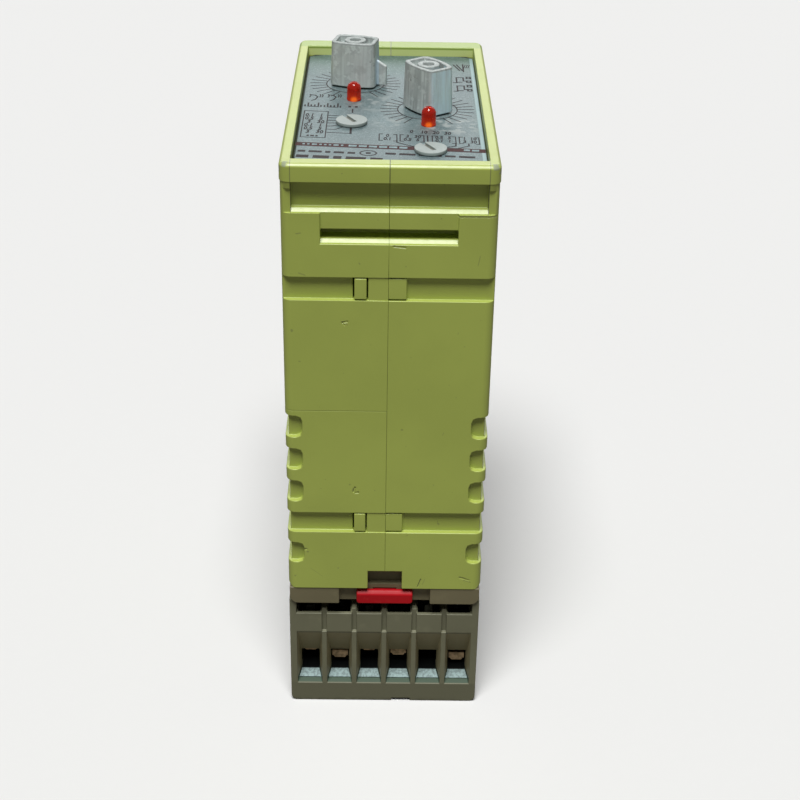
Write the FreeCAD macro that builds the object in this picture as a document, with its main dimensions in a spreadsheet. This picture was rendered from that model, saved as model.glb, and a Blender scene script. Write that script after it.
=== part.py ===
import FreeCAD, Part
import math
import os
from types import SimpleNamespace

import Sketcher

# Multifunction timer relay plugged on its rail socket, in millimetres.
# X runs across the narrow face, Y from the latch end to the back, Z up to the setting knobs.
# The origin is the middle of the underside of the socket.

SIZES = [
    ("housing_width", 45.0, "green housing across its narrow face"),
    ("housing_depth", 86.0, "green housing from latch end to back"),
    ("shell_height", 105.3, "green housing from its lower edge to the rim"),
    ("wall", 2.6, "housing wall"),
    ("seam_gap", 0.04, "seam between the two housing halves"),
    ("corner_radius", 2.0, "upright corners of the housing"),
    ("foot_bevel", 1.0, "lower side edges of the housing"),
    ("cap_height", 3.9, "rim band round the top"),
    ("cap_overhang", 0.15, "rim band proud of the housing"),
    ("cap_bevel", 0.6, "outer top edge of the rim"),
    ("neck_height", 6.8, "recess under the rim"),
    ("neck_depth", 2.1, "depth of that recess"),
    ("neck_corner_depth", 0.5, "depth of that recess at the corners"),
    ("corner_ridge", 1.5, "ridge between the rim band and the recess at the corners"),
    ("neck_half_width", 20.3, "half width of the deep part of the recess"),
    ("band_height", 6.8, "set-back band under the recess"),
    ("band_half_width", 14.3, "half width of the band and its slot"),
    ("band_depth", 0.6, "set-back of the band"),
    ("slot_height", 3.1, "long slot at the foot of the band"),
    ("slot_depth", 4.2, "depth of the long slot"),
    ("lip_bevel", 0.8, "sloped lower lips of the recess and the slot"),
    ("groove_start", 7.4, "lower edge of the housing to the first groove"),
    ("groove_pitch", 8.43, "groove spacing"),
    ("groove_height", 5.4, "groove height"),
    ("groove_depth", 1.2, "groove depth on the end faces"),
    ("groove_side_depth", 0.8, "groove depth on the side faces"),
    ("groove_wrap", 3.8, "length of a corner groove on the end face"),
    ("groove_round", 1.4, "rounded inner end of a corner groove"),
    ("snap_tab", 3.84, "snap tab from the seam"),
    ("snap_bridge", 4.3, "bridge between seam and snap window"),
    ("snap_window", 3.2, "snap window width"),
    ("snap_step", 0.2, "snap tab and bridge below the end face"),
    ("snap_clearance", 0.3, "space round the snap hook"),
    ("snap_arm", 1.35, "snap arm thickness"),
    ("notch_half_width", 3.98, "half width of the latch notch"),
    ("notch_height", 4.9, "height of the latch notch"),
    ("rim_side", 2.3, "rim width along the sides"),
    ("rim_front", 3.3, "rim width at the latch end"),
    ("rim_back", 5.4, "rim width at the back"),
    ("plate_recess", 2.2, "rim to the face of the front plate"),
    ("plate_thickness", 1.5, "front plate"),
    ("plate_clearance", 0.15, "space round the front plate"),
    ("plate_corner_cut", 1.5, "cut corners at the back of the plate"),
    ("ledge_width", 1.5, "ledges inside the side walls"),
    ("end_block", 2.4, "thickening behind the long slot"),
    ("top_room", 16.3, "height of the space under the front plate"),
    ("board_thickness", 1.6, "circuit boards"),
    ("fit_clearance", 0.3, "space round pieces that fit inside the housing"),
    ("knob_x", 8.3, "setting knobs from the middle"),
    ("left_knob_y", 58.3, "left setting knob from the latch end"),
    ("right_knob_y", 40.6, "right setting knob from the latch end"),
    ("left_knob_angle", -13.0, "pointer of the left knob"),
    ("right_knob_angle", 126.0, "pointer of the right knob"),
    ("knob_length", 10.6, "knob along its pointer"),
    ("knob_end_width", 6.4, "knob width at its ends"),
    ("knob_bulge", 0.8, "bulge of each long side"),
    ("knob_height", 10.2, "knob height"),
    ("knob_gap", 0.4, "space under the knob"),
    ("knob_taper", 1.5, "draft of the knob in degrees"),
    ("knob_corner", 0.6, "cut corners of the knob"),
    ("knob_rim", 0.9, "wall round the top of the knob"),
    ("knob_pocket", 1.6, "depth of the pockets in the top of the knob"),
    ("knob_hub", 5.0, "hub ring in the top of the knob"),
    ("knob_hub_hole", 2.6, "hole in the hub"),
    ("pointer_reach", 2.2, "pointer fin beyond the knob"),
    ("pointer_low", 4.5, "pointer height at its tip"),
    ("pointer_high", 6.1, "pointer height at its root"),
    ("pointer_thickness", 1.1, "pointer fin"),
    ("shaft_diameter", 4.0, "control shaft"),
    ("shaft_grip", 7.5, "shaft inside the knob"),
    ("shaft_clearance", 0.05, "running space round a shaft"),
    ("shaft_hole", 6.0, "plate hole for a shaft"),
    ("lead_room", 0.3, "space round the lamp leads in the plate"),
    ("control_side", 14.0, "control body, square"),
    ("control_height", 6.0, "control body"),
    ("lamp_x", 8.35, "lamps from the middle"),
    ("left_lamp_y", 46.8, "left lamp from the latch end"),
    ("right_lamp_y", 30.4, "right lamp from the latch end"),
    ("lamp_diameter", 3.35, "lamp"),
    ("lamp_height", 4.3, "lamp above the plate"),
    ("lead_side", 0.5, "lamp lead, square"),
    ("lead_pitch", 2.0, "lamp lead spacing"),
    ("selector_x", 8.5, "selectors from the middle"),
    ("left_selector_y", 31.0, "left selector from the latch end"),
    ("right_selector_y", 14.2, "right selector from the latch end"),
    ("selector_angle", -61.0, "slot of the selectors"),
    ("selector_diameter", 6.9, "selector disc"),
    ("selector_height", 0.7, "selector disc"),
    ("selector_gap", 0.15, "space under the disc"),
    ("selector_slot_reach", 1.6, "screwdriver slot beyond the middle"),
    ("selector_slot_width", 1.0, "screwdriver slot"),
    ("selector_slot_depth", 0.5, "screwdriver slot"),
    ("selector_stem", 3.0, "selector stem"),
    ("switch_side", 10.0, "rotary switch body, square"),
    ("switch_height", 8.0, "rotary switch body"),
    ("base_height", 4.6, "visible plug base"),
    ("base_inset", 0.2, "plug base inside the housing outline"),
    ("base_round", 2.0, "rounded lower sides of the plug base"),
    ("base_rise", 3.1, "plug base inside the housing"),
    ("recess_half_width", 10.7, "half width of the latch recess"),
    ("recess_depth", 1.7, "depth of the latch recess"),
    ("latch_half_width", 6.6, "half width of the red latch bar"),
    ("latch_thickness", 1.6, "latch bar"),
    ("latch_height", 3.4, "latch bar"),
    ("latch_bevel", 0.8, "sloped upper edge of the latch bar"),
    ("latch_round", 0.8, "rounded latch bar corners"),
    ("tongue_half_width", 2.4, "latch tongue"),
    ("tongue_height", 1.4, "latch tongue"),
    ("tongue_rise", 1.8, "latch tongue above the socket"),
    ("tongue_length", 23.7, "latch tongue behind its bar"),
    ("lug_half_width", 4.0, "locking lug on the socket"),
    ("lug_inset", 22.75, "locking lug from the latch end"),
    ("lug_thickness", 2.5, "locking lug"),
    ("lug_height", 5.5, "locking lug above the socket"),
    ("slide_clearance", 0.3, "space round the latch tongue and the lug"),
    ("pole_margin", 1.05, "side of the socket to the first terminal"),
    ("blade_thickness", 0.8, "plug blade"),
    ("blade_width", 4.0, "plug blade"),
    ("blade_inset", 15.0, "plug blades from the terminal front"),
    ("blade_bottom", 10.0, "foot of the plug blades"),
    ("blade_top", 1.5, "plug blade above the base"),
    ("press_clearance", 0.02, "space round a pressed-in blade"),
    ("socket_setback", 1.0, "terminal front behind the latch end of the housing"),
    ("socket_height", 30.0, "seat of the plug base"),
    ("terminal_top", 26.4, "front panels of the terminals"),
    ("rib_top", 27.4, "ribs between the terminals"),
    ("rib_width", 1.15, "ribs between the terminals"),
    ("side_top", 30.6, "side walls of the socket"),
    ("socket_round", 1.5, "rounded lower sides of the socket"),
    ("side_wall", 1.6, "side walls of the socket"),
    ("side_bevel", 0.8, "bevelled top of the side walls"),
    ("seat_inset", 18.0, "seat from the terminal front"),
    ("panel_bottom", 21.0, "lower edge of a terminal panel"),
    ("panel_groove", 0.8, "groove between two panels"),
    ("plinth_top", 5.3, "plinth"),
    ("funnel_depth", 4.5, "wire funnel"),
    ("window_half", 2.2, "half width of a wire window"),
    ("window_bottom", 6.4, "wire window"),
    ("window_top", 12.2, "wire window"),
    ("window_wall", 0.7, "wall of the wire window"),
    ("well_half", 2.7, "half width of a terminal well"),
    ("well_inset", 17.5, "inner end of a terminal well from the front"),
    ("head_room", 22.5, "floor of the screw access"),
    ("lip_wall", 1.0, "panel behind the terminal front"),
    ("strip_half", 2.1, "half width of a terminal strip"),
    ("strip_thickness", 0.6, "terminal strip"),
    ("strip_lip", 1.9, "sloped end of a terminal strip"),
    ("strip_lip_drop", 0.65, "fall of that end"),
    ("strip_lip_gap", 0.05, "space beside that end"),
    ("frame_inset", 12.0, "upright of the clamp frame from the front"),
    ("frame_thickness", 1.0, "clamp frame"),
    ("frame_top", 17.2, "clamp frame"),
    ("tine_thickness", 0.7, "contact tines"),
    ("screw_inset", 8.0, "terminal screws from the terminal front"),
    ("screw_diameter", 3.0, "terminal screw"),
    ("screw_length", 9.3, "terminal screw under its head"),
    ("screw_head", 5.0, "terminal screw head"),
    ("screw_head_height", 2.2, "terminal screw head"),
    ("screw_slot", 0.8, "terminal screw slot"),
    ("clamp_thickness", 1.2, "pressure plate"),
    ("clamp_tongue", 2.2, "front tongue of a pressure plate"),
    ("clamp_half", 1.9, "half width of a pressure plate"),
    ("clamp_tip_half", 1.2, "half width of the tongue at its foot"),
    ("rail_half", 17.75, "half width of the rail channel"),
    ("rail_lip", 1.55, "fixed rail hook"),
    ("rail_depth", 6.2, "rail channel"),
    ("rail_flange", 1.4, "space for the rail edge"),
    ("foot_x", 4.25, "middle of the rail foot"),
    ("foot_half", 4.8, "half width of the rail foot"),
    ("foot_wing", 1.5, "guide wings of the rail foot"),
    ("foot_wall", 1.55, "socket front to the room of the rail foot"),
    ("foot_nose", 1.55, "rail foot nose under the rail"),
    ("foot_step", 2.0, "height of the guide wings"),
    ("foot_top", 4.4, "top of the guide"),
    ("foot_travel", 3.5, "rail foot travel"),
    ("foot_clearance", 0.2, "space round the rail foot"),
    ("plinth_notch", 4.5, "notch under the plinth"),
    ("plinth_notch_height", 0.7, "notch under the plinth"),
    ("spring_strip", 0.3, "rail foot spring strip"),
    ("main_board_x", 12.0, "main board from the middle"),
    ("main_board_height", 79.0, "main board"),
    ("main_board_gap", 5.4, "main board to the end wall"),
]

CLAMP_DROPS = (0.35, 2.6, 0.35, 1.7, 0.0, 3.0)
BACK_CLAMP_DROPS = (0.0, 0.0, 0.0, 0.0, 0.0, 0.0)
LENS_STEPS = ((1.0, 0.8), (0.55, 0.0))
FULL_GROOVES = (1, 8)
CORNER_GROOVES = (0, 2, 3, 4)
SIDE_GROOVES = (0, 1, 2, 3, 4)
PARTS = []

doc = FreeCAD.newDocument("timer_relay")
sheet = doc.addObject("Spreadsheet::Sheet", "dims")
for row, (alias, value, note) in enumerate(SIZES, start=1):
    sheet.set(f"A{row}", note)
    sheet.set(f"B{row}", str(value))
    sheet.setAlias(f"B{row}", alias)
doc.recompute()


class Size:
    """A length with its value and the sheet expression behind it."""

    def __init__(self, text, value):
        self.text = text
        self.value = value

    def __add__(self, other):
        other = sized(other)
        return Size(f"({self.text} + {other.text})", self.value + other.value)

    def __radd__(self, other):
        return sized(other) + self

    def __sub__(self, other):
        other = sized(other)
        return Size(f"({self.text} - {other.text})", self.value - other.value)

    def __rsub__(self, other):
        return sized(other) - self

    def __mul__(self, other):
        other = sized(other)
        return Size(f"({self.text} * {other.text})", self.value * other.value)

    def __rmul__(self, other):
        return sized(other) * self

    def __truediv__(self, other):
        other = sized(other)
        return Size(f"({self.text} / {other.text})", self.value / other.value)

    def __neg__(self):
        return Size(f"(0 - {self.text})", -self.value)

    def __float__(self):
        return self.value


def sized(number):
    """A plain number as a length without a sheet cell."""
    if isinstance(number, Size):
        return number
    return Size(f"({float(number)!r})", float(number))


d = SimpleNamespace()
for alias, value, note in SIZES:
    setattr(d, alias, Size(f"dims.{alias}", float(sheet.get(alias))))

HALF_WIDTH = d.housing_width / 2
HALF_DEPTH = d.housing_depth / 2
SHELL_Z = d.socket_height + d.base_height
TOP_Z = SHELL_Z + d.shell_height
CAP_Z = TOP_Z - d.cap_height
NECK_Z = CAP_Z - d.neck_height
BAND_Z = NECK_Z - d.band_height
PLATE_Z = TOP_Z - d.plate_recess
SEAT_Z = PLATE_Z - d.plate_thickness
ROOM_Z = SEAT_Z - d.top_room
BOARD_Z = ROOM_Z + d.ledge_width
BOARD_TOP = BOARD_Z + d.board_thickness
INNER_X = HALF_WIDTH - d.wall
INNER_Y = HALF_DEPTH - d.wall
BASE_TOP = SHELL_Z + d.base_rise
SOCKET_FRONT = HALF_DEPTH - d.socket_setback
WELL_FRONT = SOCKET_FRONT - d.funnel_depth - d.window_wall
WELL_END = SOCKET_FRONT - d.well_inset
SEAT_HALF = SOCKET_FRONT - d.seat_inset
BLADE_Y = SOCKET_FRONT - d.blade_inset
FRAME_Y = SOCKET_FRONT - d.frame_inset
SCREW_Y = SOCKET_FRONT - d.screw_inset
POLE_PITCH = (d.housing_width - d.pole_margin * 2) / 6
LUG_Y = d.lug_inset - HALF_DEPTH


def bind(thing, path, size):
    """Give a property the expression of a length."""
    thing.setExpression(path, sized(size).text)


def groove_z(index):
    return SHELL_Z + d.groove_start + index * d.groove_pitch


def span(side, near, far):
    """A stretch of X on one side of the seam, lower end first."""
    if side > 0:
        return near, far
    return -sized(far), -sized(near)


def new_body(label):
    body = doc.addObject("PartDesign::Body", label)
    body.Label = label
    PARTS.append(body)
    return body


def origin_plane(body, role):
    return next(feature for feature in body.Origin.OriginFeatures if feature.Role == role)


def sketch(body, name, role, offset):
    """An empty sketch on one of the body's origin planes, moved along the plane's normal."""
    drawn = body.newObject("Sketcher::SketchObject", name)
    drawn.AttachmentSupport = [(origin_plane(body, role), "")]
    drawn.MapMode = "FlatFace"
    bind(drawn, "AttachmentOffset.Base.z", offset)
    return drawn


def dimension(drawn, kind, first, second, size):
    number = drawn.addConstraint(Sketcher.Constraint(kind, *first, *second, sized(size).value))
    bind(drawn, f"Constraints[{number}]", size)


def place_point(drawn, point, across, up):
    """Hold a sketch point at its two distances from the sketch origin."""
    dimension(drawn, "DistanceX", (-1, 1), point, across)
    dimension(drawn, "DistanceY", (-1, 1), point, up)


def polygon(drawn, points):
    """A closed outline through points, each held by its distances."""
    first = drawn.GeometryCount
    count = len(points)
    corners = [FreeCAD.Vector(float(across), float(up), 0) for across, up in points]
    for index in range(count):
        drawn.addGeometry(Part.LineSegment(corners[index], corners[(index + 1) % count]), False)
    for index in range(count):
        following = first + (index + 1) % count
        drawn.addConstraint(Sketcher.Constraint("Coincident", first + index, 2, following, 1))
    for index, (across, up) in enumerate(points):
        place_point(drawn, (first + index, 1), across, up)


def rectangle(drawn, across, up):
    left, right = across
    low, high = up
    polygon(drawn, [(left, low), (right, low), (right, high), (left, high)])


def soft_rectangle(drawn, across, up, corner):
    """A rectangle whose corners are cut by two short edges each."""
    left, right = across
    low, high = up
    cut = corner * (1 - math.cos(math.pi / 4))
    points = []
    corners = ((right, low, -1, 1), (right, high, -1, -1), (left, high, 1, -1), (left, low, 1, 1))
    for x, y, turn_x, turn_y in corners:
        bend = [(x + turn_x * corner, y), (x + turn_x * cut, y + turn_y * cut), (x, y + turn_y * corner)]
        points += bend if turn_x * turn_y < 0 else bend[::-1]
    polygon(drawn, points)


def even_sided(drawn, across, up, diameter, sides):
    """A regular outline of a few equal sides."""
    points = []
    for index in range(sides):
        turn = math.tau * (index + 0.5) / sides
        points.append((across + diameter / 2 * math.cos(turn), up + diameter / 2 * math.sin(turn)))
    polygon(drawn, points)


def circle(drawn, across, up, diameter):
    centre = FreeCAD.Vector(float(across), float(up), 0)
    radius = sized(diameter) / 2
    number = drawn.addGeometry(Part.Circle(centre, FreeCAD.Vector(0, 0, 1), radius.value), False)
    held = drawn.addConstraint(Sketcher.Constraint("Radius", number, radius.value))
    bind(drawn, f"Constraints[{held}]", radius)
    place_point(drawn, (number, 3), across, up)


def extrude(body, kind, drawn, length, reverse=False):
    """Pad or pocket a sketch of the body."""
    feature = body.newObject(f"PartDesign::{kind}", f"{drawn.Name}_{kind.lower()}")
    feature.Profile = drawn
    feature.Reversed = reverse
    bind(feature, "Length", length)
    return feature


def pad(body, drawn, length, reverse=False):
    return extrude(body, "Pad", drawn, length, reverse)


def pocket(body, drawn, depth, reverse=False):
    return extrude(body, "Pocket", drawn, depth, reverse)


def pad_box(body, name, across, along, low, height):
    """A block given by its stretches of X and Y, its foot and its height."""
    drawn = sketch(body, name, "XY_Plane", low)
    rectangle(drawn, across, along)
    return pad(body, drawn, height)


def cut_box(body, name, across, along, low, height):
    drawn = sketch(body, name, "XY_Plane", low)
    rectangle(drawn, across, along)
    return pocket(body, drawn, height, True)


def cut_front(body, name, front, across, up, depth):
    """A pocket cut into the latch end from the plane Y = -front."""
    drawn = sketch(body, name, "XZ_Plane", front)
    rectangle(drawn, across, up)
    return pocket(body, drawn, depth)


def wedge(body, kind, name, front, back):
    """A block between two rectangles, each given by its Y and its stretches of X and Z."""
    block = body.newObject(f"PartDesign::{kind}Wedge", name)
    for ends, stage in ((front, ""), (back, "2")):
        place, across, up = ends
        bind(block, "Ymax" if stage else "Ymin", place)
        bind(block, f"X{stage}min", across[0])
        bind(block, f"X{stage}max", across[1])
        bind(block, f"Z{stage}min", up[0])
        bind(block, f"Z{stage}max", up[1])
    return block


def mirror(body, features, role):
    """Repeat features across one of the body's origin planes."""
    repeated = body.newObject("PartDesign::Mirrored", f"{body.Name}_mirror")
    repeated.Originals = features
    repeated.MirrorPlane = (origin_plane(body, role), [""])
    body.Tip = repeated
    return repeated


def trim_edges(body, kind, size, chosen):
    """Fillet or chamfer the edges of the last feature that a test on their middle and extent picks."""
    doc.recompute()
    base = body.Tip
    names = []
    for number, edge in enumerate(base.Shape.Edges, start=1):
        box = edge.BoundBox
        if chosen(box.Center, (box.XLength, box.YLength, box.ZLength)):
            names.append(f"Edge{number}")
    trimmed = body.newObject(f"PartDesign::{kind}", f"{body.Name}_{kind.lower()}")
    trimmed.Base = (base, names)
    bind(trimmed, "Radius" if kind == "Fillet" else "Size", size)
    return trimmed


def round_edges(body, radius, chosen):
    return trim_edges(body, "Fillet", radius, chosen)


def bevel_edges(body, size, chosen):
    return trim_edges(body, "Chamfer", size, chosen)


def draft_sides(body, angle):
    """Lean the upright faces of the last feature inwards from its foot."""
    doc.recompute()
    base = body.Tip
    names = []
    for number, face in enumerate(base.Shape.Faces, start=1):
        if abs(face.normalAt(0, 0).z) < 0.01:
            names.append(f"Face{number}")
    leaned = body.newObject("PartDesign::Draft", f"{body.Name}_draft")
    leaned.Base = (base, names)
    leaned.NeutralPlane = (origin_plane(body, "XY_Plane"), [""])
    bind(leaned, "Angle", angle)
    return leaned


def near(first, second):
    return abs(float(first) - float(second)) < 0.01


def stand(body, x, y, z, angle=0.0):
    """Place a body whose sketches start from its own foot."""
    bind(body, "Placement.Base.x", x)
    bind(body, "Placement.Base.y", y)
    bind(body, "Placement.Base.z", z)
    body.Placement.Rotation = FreeCAD.Rotation(FreeCAD.Vector(0, 0, 1), float(angle))
    if isinstance(angle, Size):
        bind(body, "Placement.Rotation.Angle", angle)


def group(label, unit, places):
    """Copies of one unit, moved to each place, as one node of separate solids."""
    doc.recompute()
    copies = []
    for moved in places:
        copied = unit.Shape.copy()
        copied.Placement = moved.multiply(copied.Placement)
        copies.append(copied)
    many = doc.addObject("Part::Feature", label)
    many.Label = label
    many.Shape = Part.makeCompound(copies)
    PARTS.remove(unit)
    PARTS.append(many)
    return many


def pole_x(index):
    """X of the terminals, numbered from the left."""
    return (index - 2.5) * POLE_PITCH


def shell(label, side):
    """One half of the green housing, with grooves, recesses and its side of the snaps."""
    body = new_body(label)
    seam = d.seam_gap / 2
    past = HALF_WIDTH + 2
    lip_rise = d.lip_bevel + 0.05
    pad_box(body, f"{label}_outline", span(side, seam, HALF_WIDTH), (-HALF_DEPTH, HALF_DEPTH),
            SHELL_Z, d.shell_height - d.cap_height)
    bevel_edges(body, d.foot_bevel, lambda middle, size: size[1] > 50 and near(middle.z, SHELL_Z)
                and near(abs(middle.x), HALF_WIDTH))
    round_edges(body, d.corner_radius,
                lambda middle, size: size[2] > 50 and near(abs(middle.x), HALF_WIDTH))
    cap_x = HALF_WIDTH + d.cap_overhang
    cap_y = HALF_DEPTH + d.cap_overhang
    pad_box(body, f"{label}_cap", span(side, seam, cap_x), (-cap_y, cap_y), CAP_Z, d.cap_height)
    round_edges(body, d.corner_radius,
                lambda middle, size: near(size[2], d.cap_height) and near(abs(middle.x), cap_x))
    bevel_edges(body, d.cap_bevel, lambda middle, size: near(middle.z, TOP_Z) and size[2] < 0.01
                and not near(abs(middle.x), seam))

    # hollow, plate window and the ledges that carry the plate and the front board
    cut_box(body, f"{label}_hollow", span(side, -1, INNER_X), (-INNER_Y, INNER_Y),
            SHELL_Z, d.shell_height - d.plate_recess - d.plate_thickness)
    cut_box(body, f"{label}_window", span(side, -1, cap_x - d.rim_side),
            (d.rim_front - cap_y, cap_y - d.rim_back), SEAT_Z, d.plate_recess + d.plate_thickness)
    pad_box(body, f"{label}_front_block", span(side, seam, INNER_X),
            (-INNER_Y, d.end_block - INNER_Y), ROOM_Z, d.top_room)
    back_block = cap_y - d.rim_back - d.ledge_width
    pad_box(body, f"{label}_back_block", span(side, seam, INNER_X), (back_block, INNER_Y), ROOM_Z, d.top_room)
    for name, low in (("plate", SEAT_Z - d.ledge_width), ("board", ROOM_Z)):
        pad_box(body, f"{label}_{name}_ledge", span(side, INNER_X - d.ledge_width, INNER_X),
                (-INNER_Y, INNER_Y), low, d.ledge_width)

    # recess, band, slot and grooves of the end face, repeated on the back
    ends = [
        cut_front(body, f"{label}_neck_corner", HALF_DEPTH, span(side, -1, past),
                  (NECK_Z, CAP_Z - d.corner_ridge), d.neck_corner_depth),
        cut_front(body, f"{label}_neck_step", HALF_DEPTH, span(side, -1, d.neck_half_width), (NECK_Z, CAP_Z),
                  d.band_depth),
        cut_front(body, f"{label}_neck", HALF_DEPTH, span(side, -1, d.neck_half_width),
                  (NECK_Z + lip_rise, CAP_Z), d.neck_depth),
        cut_front(body, f"{label}_band", HALF_DEPTH, span(side, -1, d.band_half_width), (BAND_Z, NECK_Z),
                  d.band_depth),
        cut_front(body, f"{label}_slot", HALF_DEPTH, span(side, -1, d.band_half_width),
                  (BAND_Z + lip_rise, BAND_Z + d.slot_height), d.slot_depth),
    ]
    groove_end = d.snap_bridge if side < 0 else -1
    for index in FULL_GROOVES:
        ends.append(cut_front(body, f"{label}_groove_{index}", HALF_DEPTH, span(side, groove_end, past),
                              (groove_z(index), groove_z(index) + d.groove_height), d.groove_depth))
    vents = sketch(body, f"{label}_vents", "XZ_Plane", HALF_DEPTH)
    for index in CORNER_GROOVES:
        soft_rectangle(vents, span(side, HALF_WIDTH - d.groove_wrap, past),
                       (groove_z(index), groove_z(index) + d.groove_height), d.groove_round)
    ends.append(pocket(body, vents, d.groove_depth))
    for index in FULL_GROOVES:
        low = groove_z(index)
        high = low + d.groove_height
        if side < 0:
            far = d.snap_bridge + d.snap_window
            ends.append(cut_front(body, f"{label}_snap_window_{index}", HALF_DEPTH, (-far, -d.snap_bridge),
                                  (low, high), d.wall + 1))
            ends.append(cut_front(body, f"{label}_bridge_{index}", HALF_DEPTH, (-d.snap_bridge, 1),
                                  (low, high), d.snap_step))
        else:
            ends += snap(body, f"{label}_snap_{index}", low, high)
    mirror(body, ends, "XZ_Plane")
    bevel_edges(body, d.lip_bevel, lambda middle, size: size[0] > 10 and size[2] < 0.01
                and near(abs(middle.y), HALF_DEPTH - d.band_depth)
                and (near(middle.z, NECK_Z + lip_rise) or near(middle.z, BAND_Z + lip_rise)))

    sides = sketch(body, f"{label}_side_grooves", "YZ_Plane", side * HALF_WIDTH)
    for index in SIDE_GROOVES:
        rectangle(sides, (-HALF_DEPTH - 2, HALF_DEPTH + 2),
                  (groove_z(index), groove_z(index) + d.groove_height))
    pocket(body, sides, d.groove_side_depth, side < 0)
    cut_front(body, f"{label}_notch", HALF_DEPTH, span(side, -1, d.notch_half_width),
              (SHELL_Z - 1, SHELL_Z + d.notch_height), d.wall + 1)
    return body


def snap(body, name, low, high):
    """Tab, arm and hook that reach from the right half into the window of the left half."""
    seam = d.seam_gap / 2
    gap = d.snap_clearance
    tip = d.snap_bridge + d.snap_window - gap
    floor = HALF_DEPTH - d.groove_depth
    rise = (low + gap, high - gap)
    tab = sketch(body, f"{name}_tab", "XZ_Plane", floor)
    rectangle(tab, (seam, d.snap_tab), rise)
    root = sketch(body, f"{name}_root", "XZ_Plane", INNER_Y)
    rectangle(root, (seam, d.snap_tab), rise)
    arm = sketch(body, f"{name}_arm", "XZ_Plane", INNER_Y - gap / 2)
    rectangle(arm, (-tip, d.snap_tab), rise)
    hook = sketch(body, f"{name}_hook", "XZ_Plane", INNER_Y - gap / 2 - d.snap_arm)
    rectangle(hook, (-tip, -d.snap_bridge - gap), rise)
    return [
        pad(body, tab, d.groove_depth - d.snap_step),
        pad(body, root, gap / 2 + d.snap_arm, True),
        pad(body, arm, d.snap_arm, True),
        pad(body, hook, d.wall + gap / 2 + d.snap_arm),
    ]


shell("left_shell", -1)
shell("right_shell", 1)


# printed front plate with the holes for shafts, lamps and selectors

plate = new_body("front_plate")
plate_x = HALF_WIDTH + d.cap_overhang - d.rim_side - d.plate_clearance
plate_front = d.rim_front - HALF_DEPTH - d.cap_overhang + d.plate_clearance
plate_back = HALF_DEPTH + d.cap_overhang - d.rim_back - d.plate_clearance
plate_outline = sketch(plate, "plate_outline", "XY_Plane", SEAT_Z)
polygon(plate_outline, [
    (-plate_x, plate_front), (plate_x, plate_front), (plate_x, plate_back - d.plate_corner_cut),
    (plate_x - d.plate_corner_cut, plate_back), (d.plate_corner_cut - plate_x, plate_back),
    (-plate_x, plate_back - d.plate_corner_cut),
])
pad(plate, plate_outline, d.plate_thickness)
plate_holes = sketch(plate, "plate_holes", "XY_Plane", SEAT_Z - 1)
even_sided(plate_holes, -d.knob_x, d.left_knob_y - HALF_DEPTH, d.shaft_hole, 12)
even_sided(plate_holes, d.knob_x, d.right_knob_y - HALF_DEPTH, d.shaft_hole, 12)
lead_half = (d.lead_pitch + d.lead_side) / 2 + d.lead_room
lead_depth = d.lead_side / 2 + d.lead_room
LAMP_PLACES = ((-d.lamp_x, d.left_lamp_y - HALF_DEPTH), (d.lamp_x, d.right_lamp_y - HALF_DEPTH))
for lamp_x, lamp_y in LAMP_PLACES:
    rectangle(plate_holes, (lamp_x - lead_half, lamp_x + lead_half),
              (lamp_y - lead_depth, lamp_y + lead_depth))
even_sided(plate_holes, -d.selector_x, d.left_selector_y - HALF_DEPTH, d.selector_stem + 1, 12)
even_sided(plate_holes, d.selector_x, d.right_selector_y - HALF_DEPTH, d.selector_stem + 1, 12)
pocket(plate, plate_holes, d.plate_thickness + 2, True)


def knob_outline(drawn, length, end_width, bulge):
    """Two straight ends joined by two bulging sides."""
    half = length / 2
    end = end_width / 2
    first = drawn.GeometryCount
    corners = [FreeCAD.Vector(float(x), float(y), 0) for x, y in
               ((half, -end), (half, end), (-half, end), (-half, -end))]
    peaks = [FreeCAD.Vector(0, float(end + bulge), 0), FreeCAD.Vector(0, float(-end - bulge), 0)]
    drawn.addGeometry(Part.LineSegment(corners[0], corners[1]), False)
    drawn.addGeometry(Part.Arc(corners[1], peaks[0], corners[2]), False)
    drawn.addGeometry(Part.LineSegment(corners[2], corners[3]), False)
    drawn.addGeometry(Part.Arc(corners[3], peaks[1], corners[0]), False)
    joints = ((0, 2, 1, 1), (1, 2, 2, 1), (2, 2, 3, 1), (3, 2, 0, 1))
    for one, one_end, other, other_end in joints:
        drawn.addConstraint(Sketcher.Constraint("Coincident", first + one, one_end, first + other, other_end))
    held = ((0, 1, half, -end), (0, 2, half, end), (2, 1, -half, end), (2, 2, -half, -end))
    for line, point, across, up in held:
        place_point(drawn, (first + line, point), across, up)
    radius = (half * half + bulge * bulge) / (2 * bulge)
    for arc in (1, 3):
        number = drawn.addConstraint(Sketcher.Constraint("Radius", first + arc, radius.value))
        bind(drawn, f"Constraints[{number}]", radius)


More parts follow.
